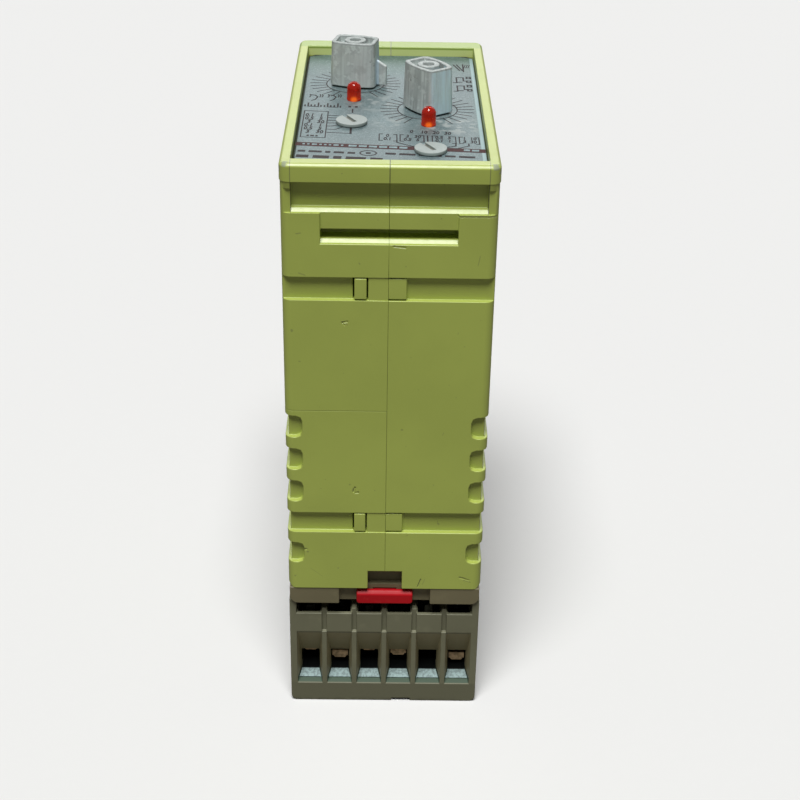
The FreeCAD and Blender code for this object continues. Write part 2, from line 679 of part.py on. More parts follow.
def knob(label, x, y, angle):
    """Tapered setting knob with a hollow top, a hub ring and a pointer fin."""
    body = new_body(label)
    outline = sketch(body, f"{label}_outline", "XY_Plane", 0)
    knob_outline(outline, d.knob_length, d.knob_end_width, d.knob_bulge)
    pad(body, outline, d.knob_height)
    draft_sides(body, d.knob_taper)
    bevel_edges(body, d.knob_corner, lambda middle, size: size[2] > float(d.knob_height) - 0.5)
    fin = sketch(body, f"{label}_fin", "XZ_Plane", 0)
    root = d.knob_length / 2 - 1.5
    tip = d.knob_length / 2 + d.pointer_reach
    polygon(fin, [(root, 0), (tip, 0), (tip, d.pointer_low), (root, d.pointer_high + 0.5)])
    blade = pad(body, fin, d.pointer_thickness)
    blade.Midplane = True
    inset = d.knob_height * math.tan(math.radians(float(d.knob_taper))) + d.knob_rim
    top = sketch(body, f"{label}_top", "XY_Plane", d.knob_height)
    knob_outline(top, d.knob_length - inset * 2, d.knob_end_width - inset * 2, d.knob_bulge)
    even_sided(top, 0, 0, d.knob_hub, 16)
    pocket(body, top, d.knob_pocket)
    hole = sketch(body, f"{label}_hub_hole", "XY_Plane", d.knob_height)
    even_sided(hole, 0, 0, d.knob_hub_hole, 12)
    pocket(body, hole, d.knob_pocket)
    bore = sketch(body, f"{label}_bore", "XY_Plane", 0)
    circle(bore, 0, 0, d.shaft_diameter + d.press_clearance * 2)
    pocket(body, bore, d.shaft_grip, True)
    stand(body, x, y, PLATE_Z + d.knob_gap, angle)


def control(side, x, y):
    """Body and turning shaft of the control under a setting knob."""
    body = new_body(f"{side}_control_body")
    foot = sketch(body, f"{side}_control_foot", "XY_Plane", 0)
    rectangle(foot, (-d.control_side / 2, d.control_side / 2), (-d.control_side / 2, d.control_side / 2))
    pad(body, foot, d.control_height)
    bore = sketch(body, f"{side}_control_bore", "XY_Plane", d.plate_thickness)
    circle(bore, 0, 0, d.shaft_diameter + d.shaft_clearance * 2)
    pocket(body, bore, d.control_height, True)
    stand(body, x, y, BOARD_TOP)
    shaft = new_body(f"{side}_control_shaft")
    round_bar = sketch(shaft, f"{side}_shaft_round", "XY_Plane", 0)
    circle(round_bar, 0, 0, d.shaft_diameter)
    shaft_foot = BOARD_TOP + d.plate_thickness
    pad(shaft, round_bar, PLATE_Z + d.knob_gap + d.shaft_grip - shaft_foot)
    stand(shaft, x, y, shaft_foot)


def lamp(label, x, y):
    """Domed lamp."""
    body = new_body(label)
    profile = sketch(body, f"{label}_profile", "XZ_Plane", 0)
    lens = d.lamp_diameter / 2
    outline = [(0, 0), (lens, 0)]
    for reach, drop in LENS_STEPS:
        outline.append((lens * reach, d.lamp_height - lens * drop))
    outline.append((0, d.lamp_height))
    polygon(profile, outline)
    dome = body.newObject("PartDesign::Revolution", f"{label}_dome")
    dome.Profile = profile
    dome.ReferenceAxis = (profile, ["V_Axis"])
    dome.Angle = 360
    stand(body, x, y, PLATE_Z)


def selector(side, x, y):
    """Slotted selector disc on its stem, and the rotary switch it turns."""
    body = new_body(f"{side}_selector")
    disc = sketch(body, f"{side}_selector_disc", "XY_Plane", d.selector_gap)
    circle(disc, 0, 0, d.selector_diameter)
    pad(body, disc, d.selector_height)
    stem = sketch(body, f"{side}_selector_stem", "XY_Plane", d.selector_gap)
    even_sided(stem, 0, 0, d.selector_stem, 8)
    stem_length = PLATE_Z - BOARD_TOP - d.switch_height / 4
    pad(body, stem, stem_length + d.selector_gap, True)
    slot = sketch(body, f"{side}_selector_slot", "XY_Plane", d.selector_gap + d.selector_height)
    rectangle(slot, (-d.selector_diameter / 2 - 0.2, d.selector_slot_reach),
              (-d.selector_slot_width / 2, d.selector_slot_width / 2))
    pocket(body, slot, d.selector_slot_depth)
    stand(body, x, y, PLATE_Z, d.selector_angle)
    switch = new_body(f"{side}_switch_body")
    half = d.switch_side / 2
    case = sketch(switch, f"{side}_switch_case", "XY_Plane", 0)
    rectangle(case, (-half, half), (-half, half))
    pad(switch, case, d.switch_height)
    bore = sketch(switch, f"{side}_switch_bore", "XY_Plane", d.switch_height / 4)
    circle(bore, 0, 0, d.selector_stem + d.shaft_clearance * 2)
    pocket(switch, bore, d.switch_height, True)
    stand(switch, x, y, BOARD_TOP)


knob("left_knob", -d.knob_x, d.left_knob_y - HALF_DEPTH, d.left_knob_angle)
knob("right_knob", d.knob_x, d.right_knob_y - HALF_DEPTH, d.right_knob_angle)
control("left", -d.knob_x, d.left_knob_y - HALF_DEPTH)
control("right", d.knob_x, d.right_knob_y - HALF_DEPTH)
lamp("left_lamp", -d.lamp_x, d.left_lamp_y - HALF_DEPTH)
lamp("right_lamp", d.lamp_x, d.right_lamp_y - HALF_DEPTH)
selector("left", -d.selector_x, d.left_selector_y - HALF_DEPTH)
selector("right", d.selector_x, d.right_selector_y - HALF_DEPTH)

lead = new_body("lamp_lead")
pad_box(lead, "lead_bar", (-d.lead_side / 2, d.lead_side / 2), (-d.lead_side / 2, d.lead_side / 2),
        BOARD_TOP, PLATE_Z - BOARD_TOP)
lead_places = []
for lamp_x, lamp_y in LAMP_PLACES:
    for turn in (-0.5, 0.5):
        lead_places.append(FreeCAD.Placement(
            FreeCAD.Vector(float(lamp_x + turn * d.lead_pitch), float(lamp_y), 0), FreeCAD.Rotation()))
group("lamp_leads", lead, lead_places)


# circuit boards and what they carry

front_board = new_body("front_board")
pad_box(front_board, "front_board_sheet",
        (d.fit_clearance - INNER_X, INNER_X - d.fit_clearance),
        (d.end_block - INNER_Y + d.fit_clearance, HALF_DEPTH + d.cap_overhang - d.rim_back - d.ledge_width
         - d.fit_clearance), BOARD_Z, d.board_thickness)

main_board = new_body("main_board")
pad_box(main_board, "main_board_sheet", (d.main_board_x, d.main_board_x + d.board_thickness),
        (d.main_board_gap - INNER_Y, INNER_Y - d.main_board_gap), BASE_TOP, d.main_board_height)
MAIN_TOP = BASE_TOP + d.main_board_height

link = new_body("board_link")
pad_box(link, "link_strip", (d.main_board_x - 2.5, d.main_board_x), (-8, 8), MAIN_TOP - 6, 6)
link_pins = sketch(link, "link_pins", "XY_Plane", MAIN_TOP)
for pin in range(6):
    pin_y = (pin - 2.5) * 2.54
    rectangle(link_pins, (d.main_board_x - 1.6, d.main_board_x - 0.96), (pin_y - 0.32, pin_y + 0.32))
pad(link, link_pins, BOARD_Z - MAIN_TOP)

relay = new_body("output_relay")
pad_box(relay, "relay_case", (d.main_board_x - 25, d.main_board_x), (4, 33), BASE_TOP + 6, 12.7)
bevel_edges(relay, sized(0.6), lambda middle, size: near(middle.x, d.main_board_x - 25))

core = new_body("transformer_core")
core_face = sketch(core, "core_face", "YZ_Plane", d.main_board_x - 17)
core_low = BASE_TOP + 6
rectangle(core_face, (-31, -1), (core_low, core_low + 25))
rectangle(core_face, (-26, -20), (core_low + 4, core_low + 21))
rectangle(core_face, (-12, -6), (core_low + 4, core_low + 21))
pad(core, core_face, 12)

coil = new_body("transformer_coil")
coil_face = sketch(coil, "coil_face", "XY_Plane", core_low + 4.2)
soft_rectangle(coil_face, (d.main_board_x - 22, d.main_board_x), (sized(-25.8), sized(-6.2)), sized(2))
rectangle(coil_face, (d.main_board_x - 17.2, d.main_board_x - 4.8), (-20.2, -11.8))
pad(coil, coil_face, 16.6)

capacitor = new_body("capacitor")
capacitor_end = sketch(capacitor, "capacitor_end", "YZ_Plane", d.main_board_x - 16)
even_sided(capacitor_end, sized(18), BASE_TOP + 34, sized(8), 24)
pad(capacitor, capacitor_end, 16)

chip = new_body("timer_chip")
pad_box(chip, "chip_case", (d.main_board_x - 4, d.main_board_x - 0.6), (-5, 5), BASE_TOP + 50, 6.4)
chip_pins = sketch(chip, "chip_pins", "YZ_Plane", d.main_board_x - 2.2)
for pin in range(4):
    pin_y = (pin - 1.5) * 2.54
    rectangle(chip_pins, (pin_y - 0.3, pin_y + 0.3), (BASE_TOP + 49.2, BASE_TOP + 57.2))
pad(chip, chip_pins, 2.2)


# plug base, latch and blades

base = new_body("plug_base")
base_x = HALF_WIDTH - d.base_inset
base_y = HALF_DEPTH - d.base_inset
pad_box(base, "base_flange", (-base_x, base_x), (-base_y, base_y), d.socket_height, d.base_height)
round_edges(base, d.base_round, lambda middle, size: size[1] > 50 and near(middle.z, d.socket_height))
pad_box(base, "base_rise", (d.fit_clearance - INNER_X, INNER_X - d.fit_clearance),
        (d.fit_clearance * 2 - INNER_Y, INNER_Y - d.fit_clearance * 2), SHELL_Z, d.base_rise)
recess_y = base_y - d.recess_depth
cut_front(base, "base_recess", base_y, (-d.recess_half_width, d.recess_half_width),
          (d.socket_height - 1, SHELL_Z), d.recess_depth)
slide = d.slide_clearance
tongue_low = d.socket_height + d.tongue_rise
cut_front(base, "base_tunnel", base_y, (-d.tongue_half_width - slide, d.tongue_half_width + slide),
          (tongue_low - slide, tongue_low + d.tongue_height + slide), d.recess_depth + d.tongue_length + 1)
cut_box(base, "base_lug_room", (-d.lug_half_width - slide, d.lug_half_width + slide),
        (LUG_Y - d.lug_thickness / 2 - slide, LUG_Y + d.lug_thickness / 2 + slide),
        d.socket_height, d.lug_height + slide)
blade_slots = sketch(base, "base_blade_slots", "XY_Plane", d.socket_height - 1)
press = d.press_clearance
for index in range(6):
    for end in (-1, 1):
        thin = d.blade_thickness / 2 + press
        broad = d.blade_width / 2 + press
        rectangle(blade_slots, (pole_x(index) - thin, pole_x(index) + thin),
                  (end * BLADE_Y - broad, end * BLADE_Y + broad))
pocket(base, blade_slots, d.base_height + d.base_rise + 2, True)

latch = new_body("locking_slide")
latch_back = recess_y + 0.1
latch_front = latch_back + d.latch_thickness
latch_top = d.socket_height + d.latch_height
bar_end = sketch(latch, "latch_bar_end", "YZ_Plane", -d.latch_half_width)
polygon(bar_end, [
    (-latch_front, d.socket_height), (-latch_back, d.socket_height), (-latch_back, latch_top),
    (d.latch_bevel - latch_front, latch_top), (-latch_front, latch_top - d.latch_bevel),
])
pad(latch, bar_end, d.latch_half_width * 2)
round_edges(latch, d.latch_round, lambda middle, size: size[1] > 1 and near(middle.z, d.socket_height)
            and near(abs(middle.x), d.latch_half_width))
pad_box(latch, "latch_tongue", (-d.tongue_half_width, d.tongue_half_width),
        (-latch_back - 0.5, -latch_back + d.tongue_length), tongue_low, d.tongue_height)

blade = new_body("contact_blade")
pad_box(blade, "blade_bar", (-d.blade_thickness / 2, d.blade_thickness / 2),
        (-d.blade_width / 2, d.blade_width / 2), d.blade_bottom, BASE_TOP + d.blade_top - d.blade_bottom)
blade_places = []
for index in range(6):
    for end in (-1, 1):
        blade_places.append(FreeCAD.Placement(
            FreeCAD.Vector(float(pole_x(index)), float(end * BLADE_Y), 0), FreeCAD.Rotation()))
group("contact_blades", blade, blade_places)


# socket

socket = new_body("socket_body")
half_socket = HALF_WIDTH
wall_in = half_socket - d.side_wall
pad_box(socket, "socket_block", (-half_socket, half_socket), (-SOCKET_FRONT, SOCKET_FRONT), 0, d.terminal_top)
round_edges(socket, d.socket_round, lambda middle, size: size[1] > 50 and near(middle.z, 0))
walls = sketch(socket, "socket_walls", "XZ_Plane", SOCKET_FRONT)
for side in (-1, 1):
    polygon(walls, [(side * wall_in, d.terminal_top), (side * half_socket, d.terminal_top),
                    (side * half_socket, d.side_top), (side * wall_in, d.side_top - d.side_bevel)])
pad(socket, walls, SOCKET_FRONT * 2, True)
pad_box(socket, "socket_seat", (-wall_in, wall_in), (-SEAT_HALF, SEAT_HALF),
        d.terminal_top, d.socket_height - d.terminal_top)
rib_front = SOCKET_FRONT - d.panel_groove
ribs = sketch(socket, "socket_ribs", "XY_Plane", d.terminal_top)
for index in range(5):
    rib_x = (index - 2) * POLE_PITCH
    for end in (-1, 1):
        stretch = (-rib_front, -SEAT_HALF) if end < 0 else (SEAT_HALF, rib_front)
        rectangle(ribs, (rib_x - d.rib_width / 2, rib_x + d.rib_width / 2), stretch)
pad(socket, ribs, d.rib_top - d.terminal_top)
lug_low = LUG_Y - d.lug_thickness / 2
pad_box(socket, "socket_lug", (-d.lug_half_width, d.lug_half_width), (lug_low, lug_low + d.lug_thickness),
        d.socket_height, d.lug_height)
cut_front(socket, "socket_eye", -lug_low, (-d.tongue_half_width - slide, d.tongue_half_width + slide),
          (tongue_low - slide, tongue_low + d.tongue_height + slide), d.lug_thickness)

terminals = []
panel_grooves = sketch(socket, "socket_panel_grooves", "XZ_Plane", SOCKET_FRONT)
for index in range(5):
    rib_x = (index - 2) * POLE_PITCH
    rectangle(panel_grooves, (rib_x - d.rib_width / 2, rib_x + d.rib_width / 2),
              (d.panel_bottom, d.terminal_top + 2))
terminals.append(pocket(socket, panel_grooves, d.panel_groove))
funnel_half = (POLE_PITCH - d.rib_width) / 2
for index in range(6):
    mouth = (-SOCKET_FRONT, (pole_x(index) - funnel_half, pole_x(index) + funnel_half),
             (d.plinth_top, d.panel_bottom))
    throat = (d.funnel_depth - SOCKET_FRONT, (pole_x(index) - d.window_half, pole_x(index) + d.window_half),
              (d.window_bottom, d.window_top))
    terminals.append(wedge(socket, "Subtractive", f"funnel_{index}", mouth, throat))
windows = sketch(socket, "socket_windows", "XZ_Plane", SOCKET_FRONT - d.funnel_depth + 0.2)
wells = sketch(socket, "socket_wells", "XY_Plane", d.window_bottom)
heads = sketch(socket, "socket_screw_rooms", "XY_Plane", d.head_room)
for index in range(6):
    rectangle(windows, (pole_x(index) - d.window_half, pole_x(index) + d.window_half),
              (d.window_bottom, d.window_top))
    rectangle(wells, (pole_x(index) - d.well_half, pole_x(index) + d.well_half), (-WELL_FRONT, -WELL_END))
    rectangle(heads, (pole_x(index) - d.well_half, pole_x(index) + d.well_half),
              (d.lip_wall - SOCKET_FRONT, -WELL_END))
terminals.append(pocket(socket, windows, d.window_wall + 0.4))
terminals.append(pocket(socket, wells, d.socket_height, True))
terminals.append(pocket(socket, heads, d.socket_height, True))
mirror(socket, terminals, "XZ_Plane")

rail = sketch(socket, "socket_rail", "YZ_Plane", -half_socket - 1)
flange_z = d.rail_depth - d.rail_flange
polygon(rail, [(-d.rail_half, -1), (d.rail_half - d.rail_lip, -1), (d.rail_half - d.rail_lip, flange_z),
               (d.rail_half, flange_z), (d.rail_half, d.rail_depth), (-d.rail_half, d.rail_depth)])
pocket(socket, rail, d.housing_width + 2, True)
foot_end = SOCKET_FRONT - d.foot_wall
foot_play = d.foot_half + d.foot_clearance
cut_box(socket, "foot_channel", (d.foot_x - foot_play, d.foot_x + foot_play), (-foot_end, -d.rail_half + 1),
        0, d.foot_top)
cut_box(socket, "foot_guide", (d.foot_x - foot_play - d.foot_wing, d.foot_x + foot_play + d.foot_wing),
        (-foot_end, -d.rail_half + 1), d.foot_step, d.foot_top - d.foot_step)
cut_front(socket, "plinth_notch", SOCKET_FRONT,
          (d.foot_x - d.plinth_notch / 2, d.foot_x + d.plinth_notch / 2), (-1, d.plinth_notch_height),
          SOCKET_FRONT - foot_end + 0.5)

foot = new_body("rail_foot")
foot_back = d.foot_travel + d.foot_clearance * 2 - foot_end
pad_box(foot, "foot_bar", (d.foot_x - d.foot_half, d.foot_x + d.foot_half), (foot_back, -d.rail_half),
        d.foot_clearance, d.foot_top - d.foot_clearance * 2)
wing_half = d.foot_half + d.foot_wing
pad_box(foot, "foot_wings", (d.foot_x - wing_half, d.foot_x + wing_half), (foot_back, -d.rail_half),
        d.foot_step + d.foot_clearance, d.foot_top - d.foot_step - d.foot_clearance * 2)
nose = sketch(foot, "foot_nose", "YZ_Plane", d.foot_x - d.foot_half)
nose_tip = d.foot_nose - d.rail_half
nose_top = d.foot_top - d.foot_clearance
polygon(nose, [(-d.rail_half - 1, d.foot_clearance), (-d.rail_half, d.foot_clearance),
               (nose_tip, d.foot_step), (nose_tip, nose_top), (-d.rail_half - 1, nose_top)])
pad(foot, nose, d.foot_half * 2)
cut_box(foot, "foot_slot", (d.foot_x - d.plinth_notch / 2, d.foot_x + d.plinth_notch / 2),
        (foot_back + 2, foot_back + 5), 0, d.foot_step)

spring = new_body("rail_foot_spring")
fold = sketch(spring, "spring_fold", "XY_Plane", d.foot_step + 0.6)
wave = d.foot_half - 0.6
tip = foot_back
polygon(fold, [
    (d.foot_x - wave, -foot_end), (d.foot_x - wave + 0.6, -foot_end), (d.foot_x, tip - d.spring_strip - 0.1),
    (d.foot_x + wave - 0.6, -foot_end), (d.foot_x + wave, -foot_end),
    (d.foot_x + 0.3, tip), (d.foot_x - 0.3, tip),
])
pad(spring, fold, 1.4)


# terminal strips with their clamp frames, pressure plates and screws

strip = new_body("terminal_strip")
profile = sketch(strip, "strip_profile", "YZ_Plane", -d.strip_half)
strip_low = d.window_bottom + 0.05
strip_top = strip_low + d.strip_thickness
frame_in = FRAME_Y + d.frame_thickness / 2
frame_out = FRAME_Y - d.frame_thickness / 2
frame_front = WELL_FRONT - 0.2
bend_y = SOCKET_FRONT - d.funnel_depth + 1
polygon(profile, [
    (-bend_y, strip_low), (-frame_out, strip_low), (-frame_out, d.frame_top), (-frame_front, d.frame_top),
    (-frame_front, d.frame_top - d.frame_thickness), (-frame_in, d.frame_top - d.frame_thickness),
    (-frame_in, strip_top), (-bend_y, strip_top),
])
pad(strip, profile, d.strip_half * 2)
lip_z = strip_low - d.strip_lip_drop
lip_share = (d.strip_lip + 1) / d.funnel_depth
lip_half = d.window_half + (funnel_half - d.window_half) * lip_share - d.strip_lip_gap
lip_tip = (-bend_y - d.strip_lip, (-lip_half, lip_half), (lip_z, lip_z + 0.15))
lip_root = (-bend_y, (-d.strip_half, d.strip_half), (strip_low, strip_top))
wedge(strip, "Additive", "strip_lip", lip_tip, lip_root)
tines = sketch(strip, "strip_tines", "XY_Plane", d.blade_bottom - 1)
tine_in = d.blade_thickness / 2 + press
for side in (-1, 1):
    ends = sorted((side * tine_in, side * (tine_in + d.tine_thickness)), key=float)
    rectangle(tines, ends, (-frame_out - 0.2, d.blade_width / 2 - BLADE_Y))
pad(strip, tines, d.frame_top - d.blade_bottom + 1)
thread = sketch(strip, "strip_thread", "XY_Plane", d.frame_top + 1)
even_sided(thread, 0, -SCREW_Y, d.screw_diameter + d.shaft_clearance * 2, 6)
pocket(strip, thread, d.frame_thickness + 2)

clamp = new_body("pressure_plate")
clamp_body = sketch(clamp, "clamp_body", "XY_Plane", 0.6)
rectangle(clamp_body, (-d.clamp_half, d.clamp_half), (-WELL_FRONT + 0.1, -frame_in - 0.2))
pad(clamp, clamp_body, d.clamp_thickness)
clamp_front = sketch(clamp, "clamp_front", "XZ_Plane", WELL_FRONT - 0.1)
polygon(clamp_front, [
    (-d.clamp_tip_half, 0), (d.clamp_tip_half, 0), (d.clamp_half, 1), (d.clamp_half, d.clamp_tongue),
    (-d.clamp_half, d.clamp_tongue), (-d.clamp_half, 1),
])
pad(clamp, clamp_front, 0.6, True)

screw = new_body("terminal_screw")
thread_bar = sketch(screw, "screw_thread", "XY_Plane", 0.6 + d.clamp_thickness)
even_sided(thread_bar, 0, -SCREW_Y, d.screw_diameter, 6)
pad(screw, thread_bar, d.screw_length)
head_z = 0.6 + d.clamp_thickness + d.screw_length
head = sketch(screw, "screw_head", "XY_Plane", head_z)
even_sided(head, 0, -SCREW_Y, d.screw_head, 8)
pad(screw, head, d.screw_head_height)
screw_slot = sketch(screw, "screw_slot", "XY_Plane", head_z + d.screw_head_height)
rectangle(screw_slot, (-4, 4), (-SCREW_Y - d.screw_slot / 2, d.screw_slot / 2 - SCREW_Y))
pocket(screw, screw_slot, d.screw_head_height / 2)

half_turn = FreeCAD.Rotation(FreeCAD.Vector(0, 0, 1), 180)
straight = FreeCAD.Rotation()
strip_places = []
clamp_places = []
sight_drop = 0.8 * float(d.window_wall)
for turn, drops in ((straight, CLAMP_DROPS), (half_turn, BACK_CLAMP_DROPS)):
    for index in range(6):
        x = float(pole_x(index))
        strip_places.append(FreeCAD.Placement(FreeCAD.Vector(x, 0, 0), turn))
        clamp_z = float(d.window_top) - sight_drop - drops[index]
        clamp_places.append(FreeCAD.Placement(FreeCAD.Vector(x, 0, clamp_z), turn))
group("terminal_strips", strip, strip_places)
group("pressure_plates", clamp, clamp_places)
group("terminal_screws", screw, clamp_places)


# check every piece and write one file a node

doc.recompute()
for thing in doc.Objects:
    if "Invalid" in thing.State or "Error" in thing.State:
        raise RuntimeError(f"{thing.Name}: {thing.State}")
os.makedirs("parts", exist_ok=True)
for part in PARTS:
    if part.Shape.isNull() or not part.Shape.isValid():
        raise RuntimeError(f"{part.Label} has no valid shape")
    part.Shape.exportStep(os.path.join("parts", f"{part.Label}.step"))
    print(f"{part.Label}: {len(part.Shape.Solids)} solid(s), {part.Shape.Volume:.1f} mm3")
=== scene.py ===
import math

import bpy
from bpy.props import FloatProperty, FloatVectorProperty, PointerProperty
from mathutils import Matrix, Vector


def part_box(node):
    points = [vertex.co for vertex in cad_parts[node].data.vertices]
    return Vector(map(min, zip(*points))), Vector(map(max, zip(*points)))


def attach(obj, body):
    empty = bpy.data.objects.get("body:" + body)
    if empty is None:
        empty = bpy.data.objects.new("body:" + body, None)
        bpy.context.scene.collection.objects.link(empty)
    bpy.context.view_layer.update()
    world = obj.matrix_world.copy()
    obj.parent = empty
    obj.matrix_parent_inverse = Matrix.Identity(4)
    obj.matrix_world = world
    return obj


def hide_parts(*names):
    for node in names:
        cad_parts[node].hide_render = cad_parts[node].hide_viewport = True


bl_info = {
    "name": "Timer relay dressing",
    "version": (1, 0, 0),
    "blender": (4, 5, 0),
    "location": "View3D > Sidebar > Relay",
    "description": "Dresses the timer relay and its rail socket with edges, print and finishes",
    "category": "Object",
}

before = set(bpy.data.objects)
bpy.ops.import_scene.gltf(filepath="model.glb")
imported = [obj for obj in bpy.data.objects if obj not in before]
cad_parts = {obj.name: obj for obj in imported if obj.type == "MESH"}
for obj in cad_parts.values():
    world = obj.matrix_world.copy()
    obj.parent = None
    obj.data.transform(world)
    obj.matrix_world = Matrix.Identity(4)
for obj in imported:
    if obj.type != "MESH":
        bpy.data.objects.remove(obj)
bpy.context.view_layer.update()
MM = 0.001

# places on the solids that the finishes follow
PLATE_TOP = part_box("front_plate")[1].z
PLATE_SIDE = 0.01995
HOUSING_FRONT = -0.043
SEAM = 0.0001
RIM_FOOT, RIM_TOP = 0.136, 0.1393
RIM_BACK = 0.0375
RIM_INSIDE = 0.0203
KNOB_HUB = 0.0035
KNOB_POCKET = 0.0018
SOCKET_FACE = (0.0416, 0.0419)
FUNNEL_BACK = (0.036, 0.0365)
FUNNEL_FLOOR, FUNNEL_TOP = 0.0072, 0.0205
PLINTH_TOP = 0.0054
STRIP_FRONT = 0.03855
LEFT_DIAL = (-8.3 * MM, 15.3 * MM)
RIGHT_DIAL = (8.3 * MM, -2.4 * MM)
LEFT_LAMP = (-8.35 * MM, 3.8 * MM)
RIGHT_LAMP = (8.35 * MM, -12.6 * MM)

# print: its turn in degrees, its fall across the plate and the height of each layer over the plate
PRINT_TURN = -4.4
PRINT_FALL = 0.077
FIELD_LIFT, LINE_LIFT, NUMBER_LIFT, BLOCK_LIFT = 0.000004, 0.000006, 0.00002, 0.00003

# edge rounding: merged points, angles, and the share of a face or a short step that a rounding may take
WELD = 0.000001
FLAT_TURN = math.radians(1.3)
SHARP_TURN = math.radians(25)
SMOOTH_TURN = math.radians(50)
RUN_TURN = math.radians(140)
ROOM_BY_SHARP, ROOM_BY_PLAIN, ROOM_AT_STEP = 0.35, 0.7, 0.45
ACROSS = (0.02, 0.26, 0.5, 0.74, 0.98)

# camera of the photograph: place, then pitch, yaw and roll in radians, then the lens in millimetres
CAMERA_PLACE = (-0.00072, -0.33798, 0.2525)
CAMERA_TURN = (0.515, 0.012, 0.018)
CAMERA_LENS = 69.75
BACKDROP = 0.86


def length(name, description, default):
    return FloatProperty(name=name, description=description, default=default, min=0.0, unit="LENGTH",
                         precision=5)


def colour(name, description, default):
    return FloatVectorProperty(name=name, description=description, default=default, size=3, min=0.0, max=1.0,
                               subtype="COLOR")


class RelaySizes(bpy.types.PropertyGroup):
    """Sizes of the dressing."""

    housing_edge: length("Housing edges", "Rounding of the housing edges", 0.00022)
    knob_edge: length("Knob edges", "Rounding of the knob edges", 0.00022)
    disc_edge: length("Disc edges", "Rounding of the selector discs", 0.00014)
    base_edge: length("Base edges", "Rounding of the plug base", 0.0002)
    latch_edge: length("Latch edges", "Rounding of the locking slide", 0.0003)
    socket_edge: length("Socket edges", "Rounding of the socket", 0.00016)
    ink_height: length("Ink", "Thickness of the print", 0.00002)
    line: length("Line", "Width of a printed line", 0.00024)
    ring: length("Dial ring", "Radius of the ring round a knob", 0.0067)
    tick_start: length("Tick start", "Inner end of the dial ticks", 0.0069)
    tick_end: length("Tick end", "Outer end of the dial ticks", 0.0105)
    lens: length("Lens", "Radius of a lamp lens", 0.0016)


class RelayColours(bpy.types.PropertyGroup):
    """Colours of the finishes."""

    housing: colour("Housing", "Lime green housing plastic", (0.42, 0.5, 0.1))
    chip: colour("Chips", "Worn corners of the housing", (0.3, 0.34, 0.25))
    grime: colour("Grime", "Dirt in scratches and specks", (0.13, 0.13, 0.07))
    # painted light: the rim's inner wall at the back is drawn lighter, as where it is lit
    lit_rim_wall: colour("Rim wall", "Inner wall of the rim at the back", (0.9, 1.0, 0.45))
    # painted shade: the top of the rim at the back is drawn darker
    shaded_rim_top: colour("Rim top", "Top of the rim at the back", (0.31, 0.43, 0.07))
    # pale patches on the plate, partly dust and partly painted glare
    haze_and_glare: colour("Haze", "Hazy spots on the front plate", (0.38, 0.42, 0.41))
    plate: colour("Plate", "Silver face of the front plate", (0.142, 0.2, 0.207))
    # painted reflection of the green rim on the back of the plate
    cast: colour("Cast", "Mint cast at the back of the front plate", (0.09, 0.165, 0.135))
    # painted shadow in the gaps between the plate and the rim
    gap: colour("Gap", "Dark line along the sides of the front plate", (0.02, 0.026, 0.014))
    ink: colour("Ink", "Print on the front plate", (0.026, 0.02, 0.021))
    brown: colour("Brown", "Brown field across the front plate", (0.05, 0.018, 0.018))
    knob: colour("Knobs", "Grey setting knobs", (0.6, 0.655, 0.635))
    disc: colour("Discs", "Off-white selector discs", (0.33, 0.38, 0.36))
    lens: colour("Lenses", "Red lamp lenses", (0.5, 0.012, 0.0))
    base: colour("Plug base", "Warm grey plug base", (0.172, 0.152, 0.085))
    latch: colour("Latch", "Red locking slide", (0.46, 0.006, 0.012))
    socket: colour("Socket", "Dark grey socket", (0.17, 0.17, 0.108))
    clamp: colour("Clamps", "Tan pressure plates", (0.5, 0.36, 0.22))
    strip: colour("Strips", "Pale terminal strips", (0.16, 0.215, 0.21))


class RelayStage(bpy.types.PropertyGroup):
    """Light and floor."""

    key: FloatProperty(name="Key light", description="Strength of the light overhead", default=3.5)
    sky: FloatProperty(name="Sky", description="Strength of the even light", default=0.05)
    room: FloatProperty(name="Room", description="What shiny faces mirror", default=0.3)
    panel: FloatProperty(name="Panel", description="Bright panel behind that level faces mirror", default=2.2)
    floor: colour("Floor", "Pale floor", (0.8, 0.8, 0.79))
    bounce: colour("Bounce", "Floor as the object sees it", (0.21, 0.195, 0.165))


class Wire:
    """A shader value: one node socket with arithmetic."""

    def __init__(self, look, socket):
        self.look = look
        self.socket = socket

    def __add__(self, other):
        return self.look.math("ADD", self, other)

    def __sub__(self, other):
        return self.look.math("SUBTRACT", self, other)

    def __rsub__(self, other):
        return self.look.math("SUBTRACT", other, self)

    def __mul__(self, other):
        return self.look.math("MULTIPLY", self, other)

    __radd__ = __add__
    __rmul__ = __mul__

    def __abs__(self):
        return self.look.math("ABSOLUTE", self, 0.0)

    def over(self, other):
        """The larger of two values."""
        return self.look.math("MAXIMUM", self, other)

    def step(self, low, high):
        """A soft step from 0 below low to 1 above high, or down where low is above high."""
        return self.look.node("ShaderNodeMapRange", "Result",
                              {"Value": self, "From Min": min(low, high), "From Max": max(low, high),
                               "To Min": float(low > high), "To Max": float(low < high)},
                              interpolation_type="SMOOTHSTEP")

    def band(self, low, high, soft):
        """1 between low and high, 0 outside."""
        return self.step(low - soft, low) * self.step(high + soft, high)


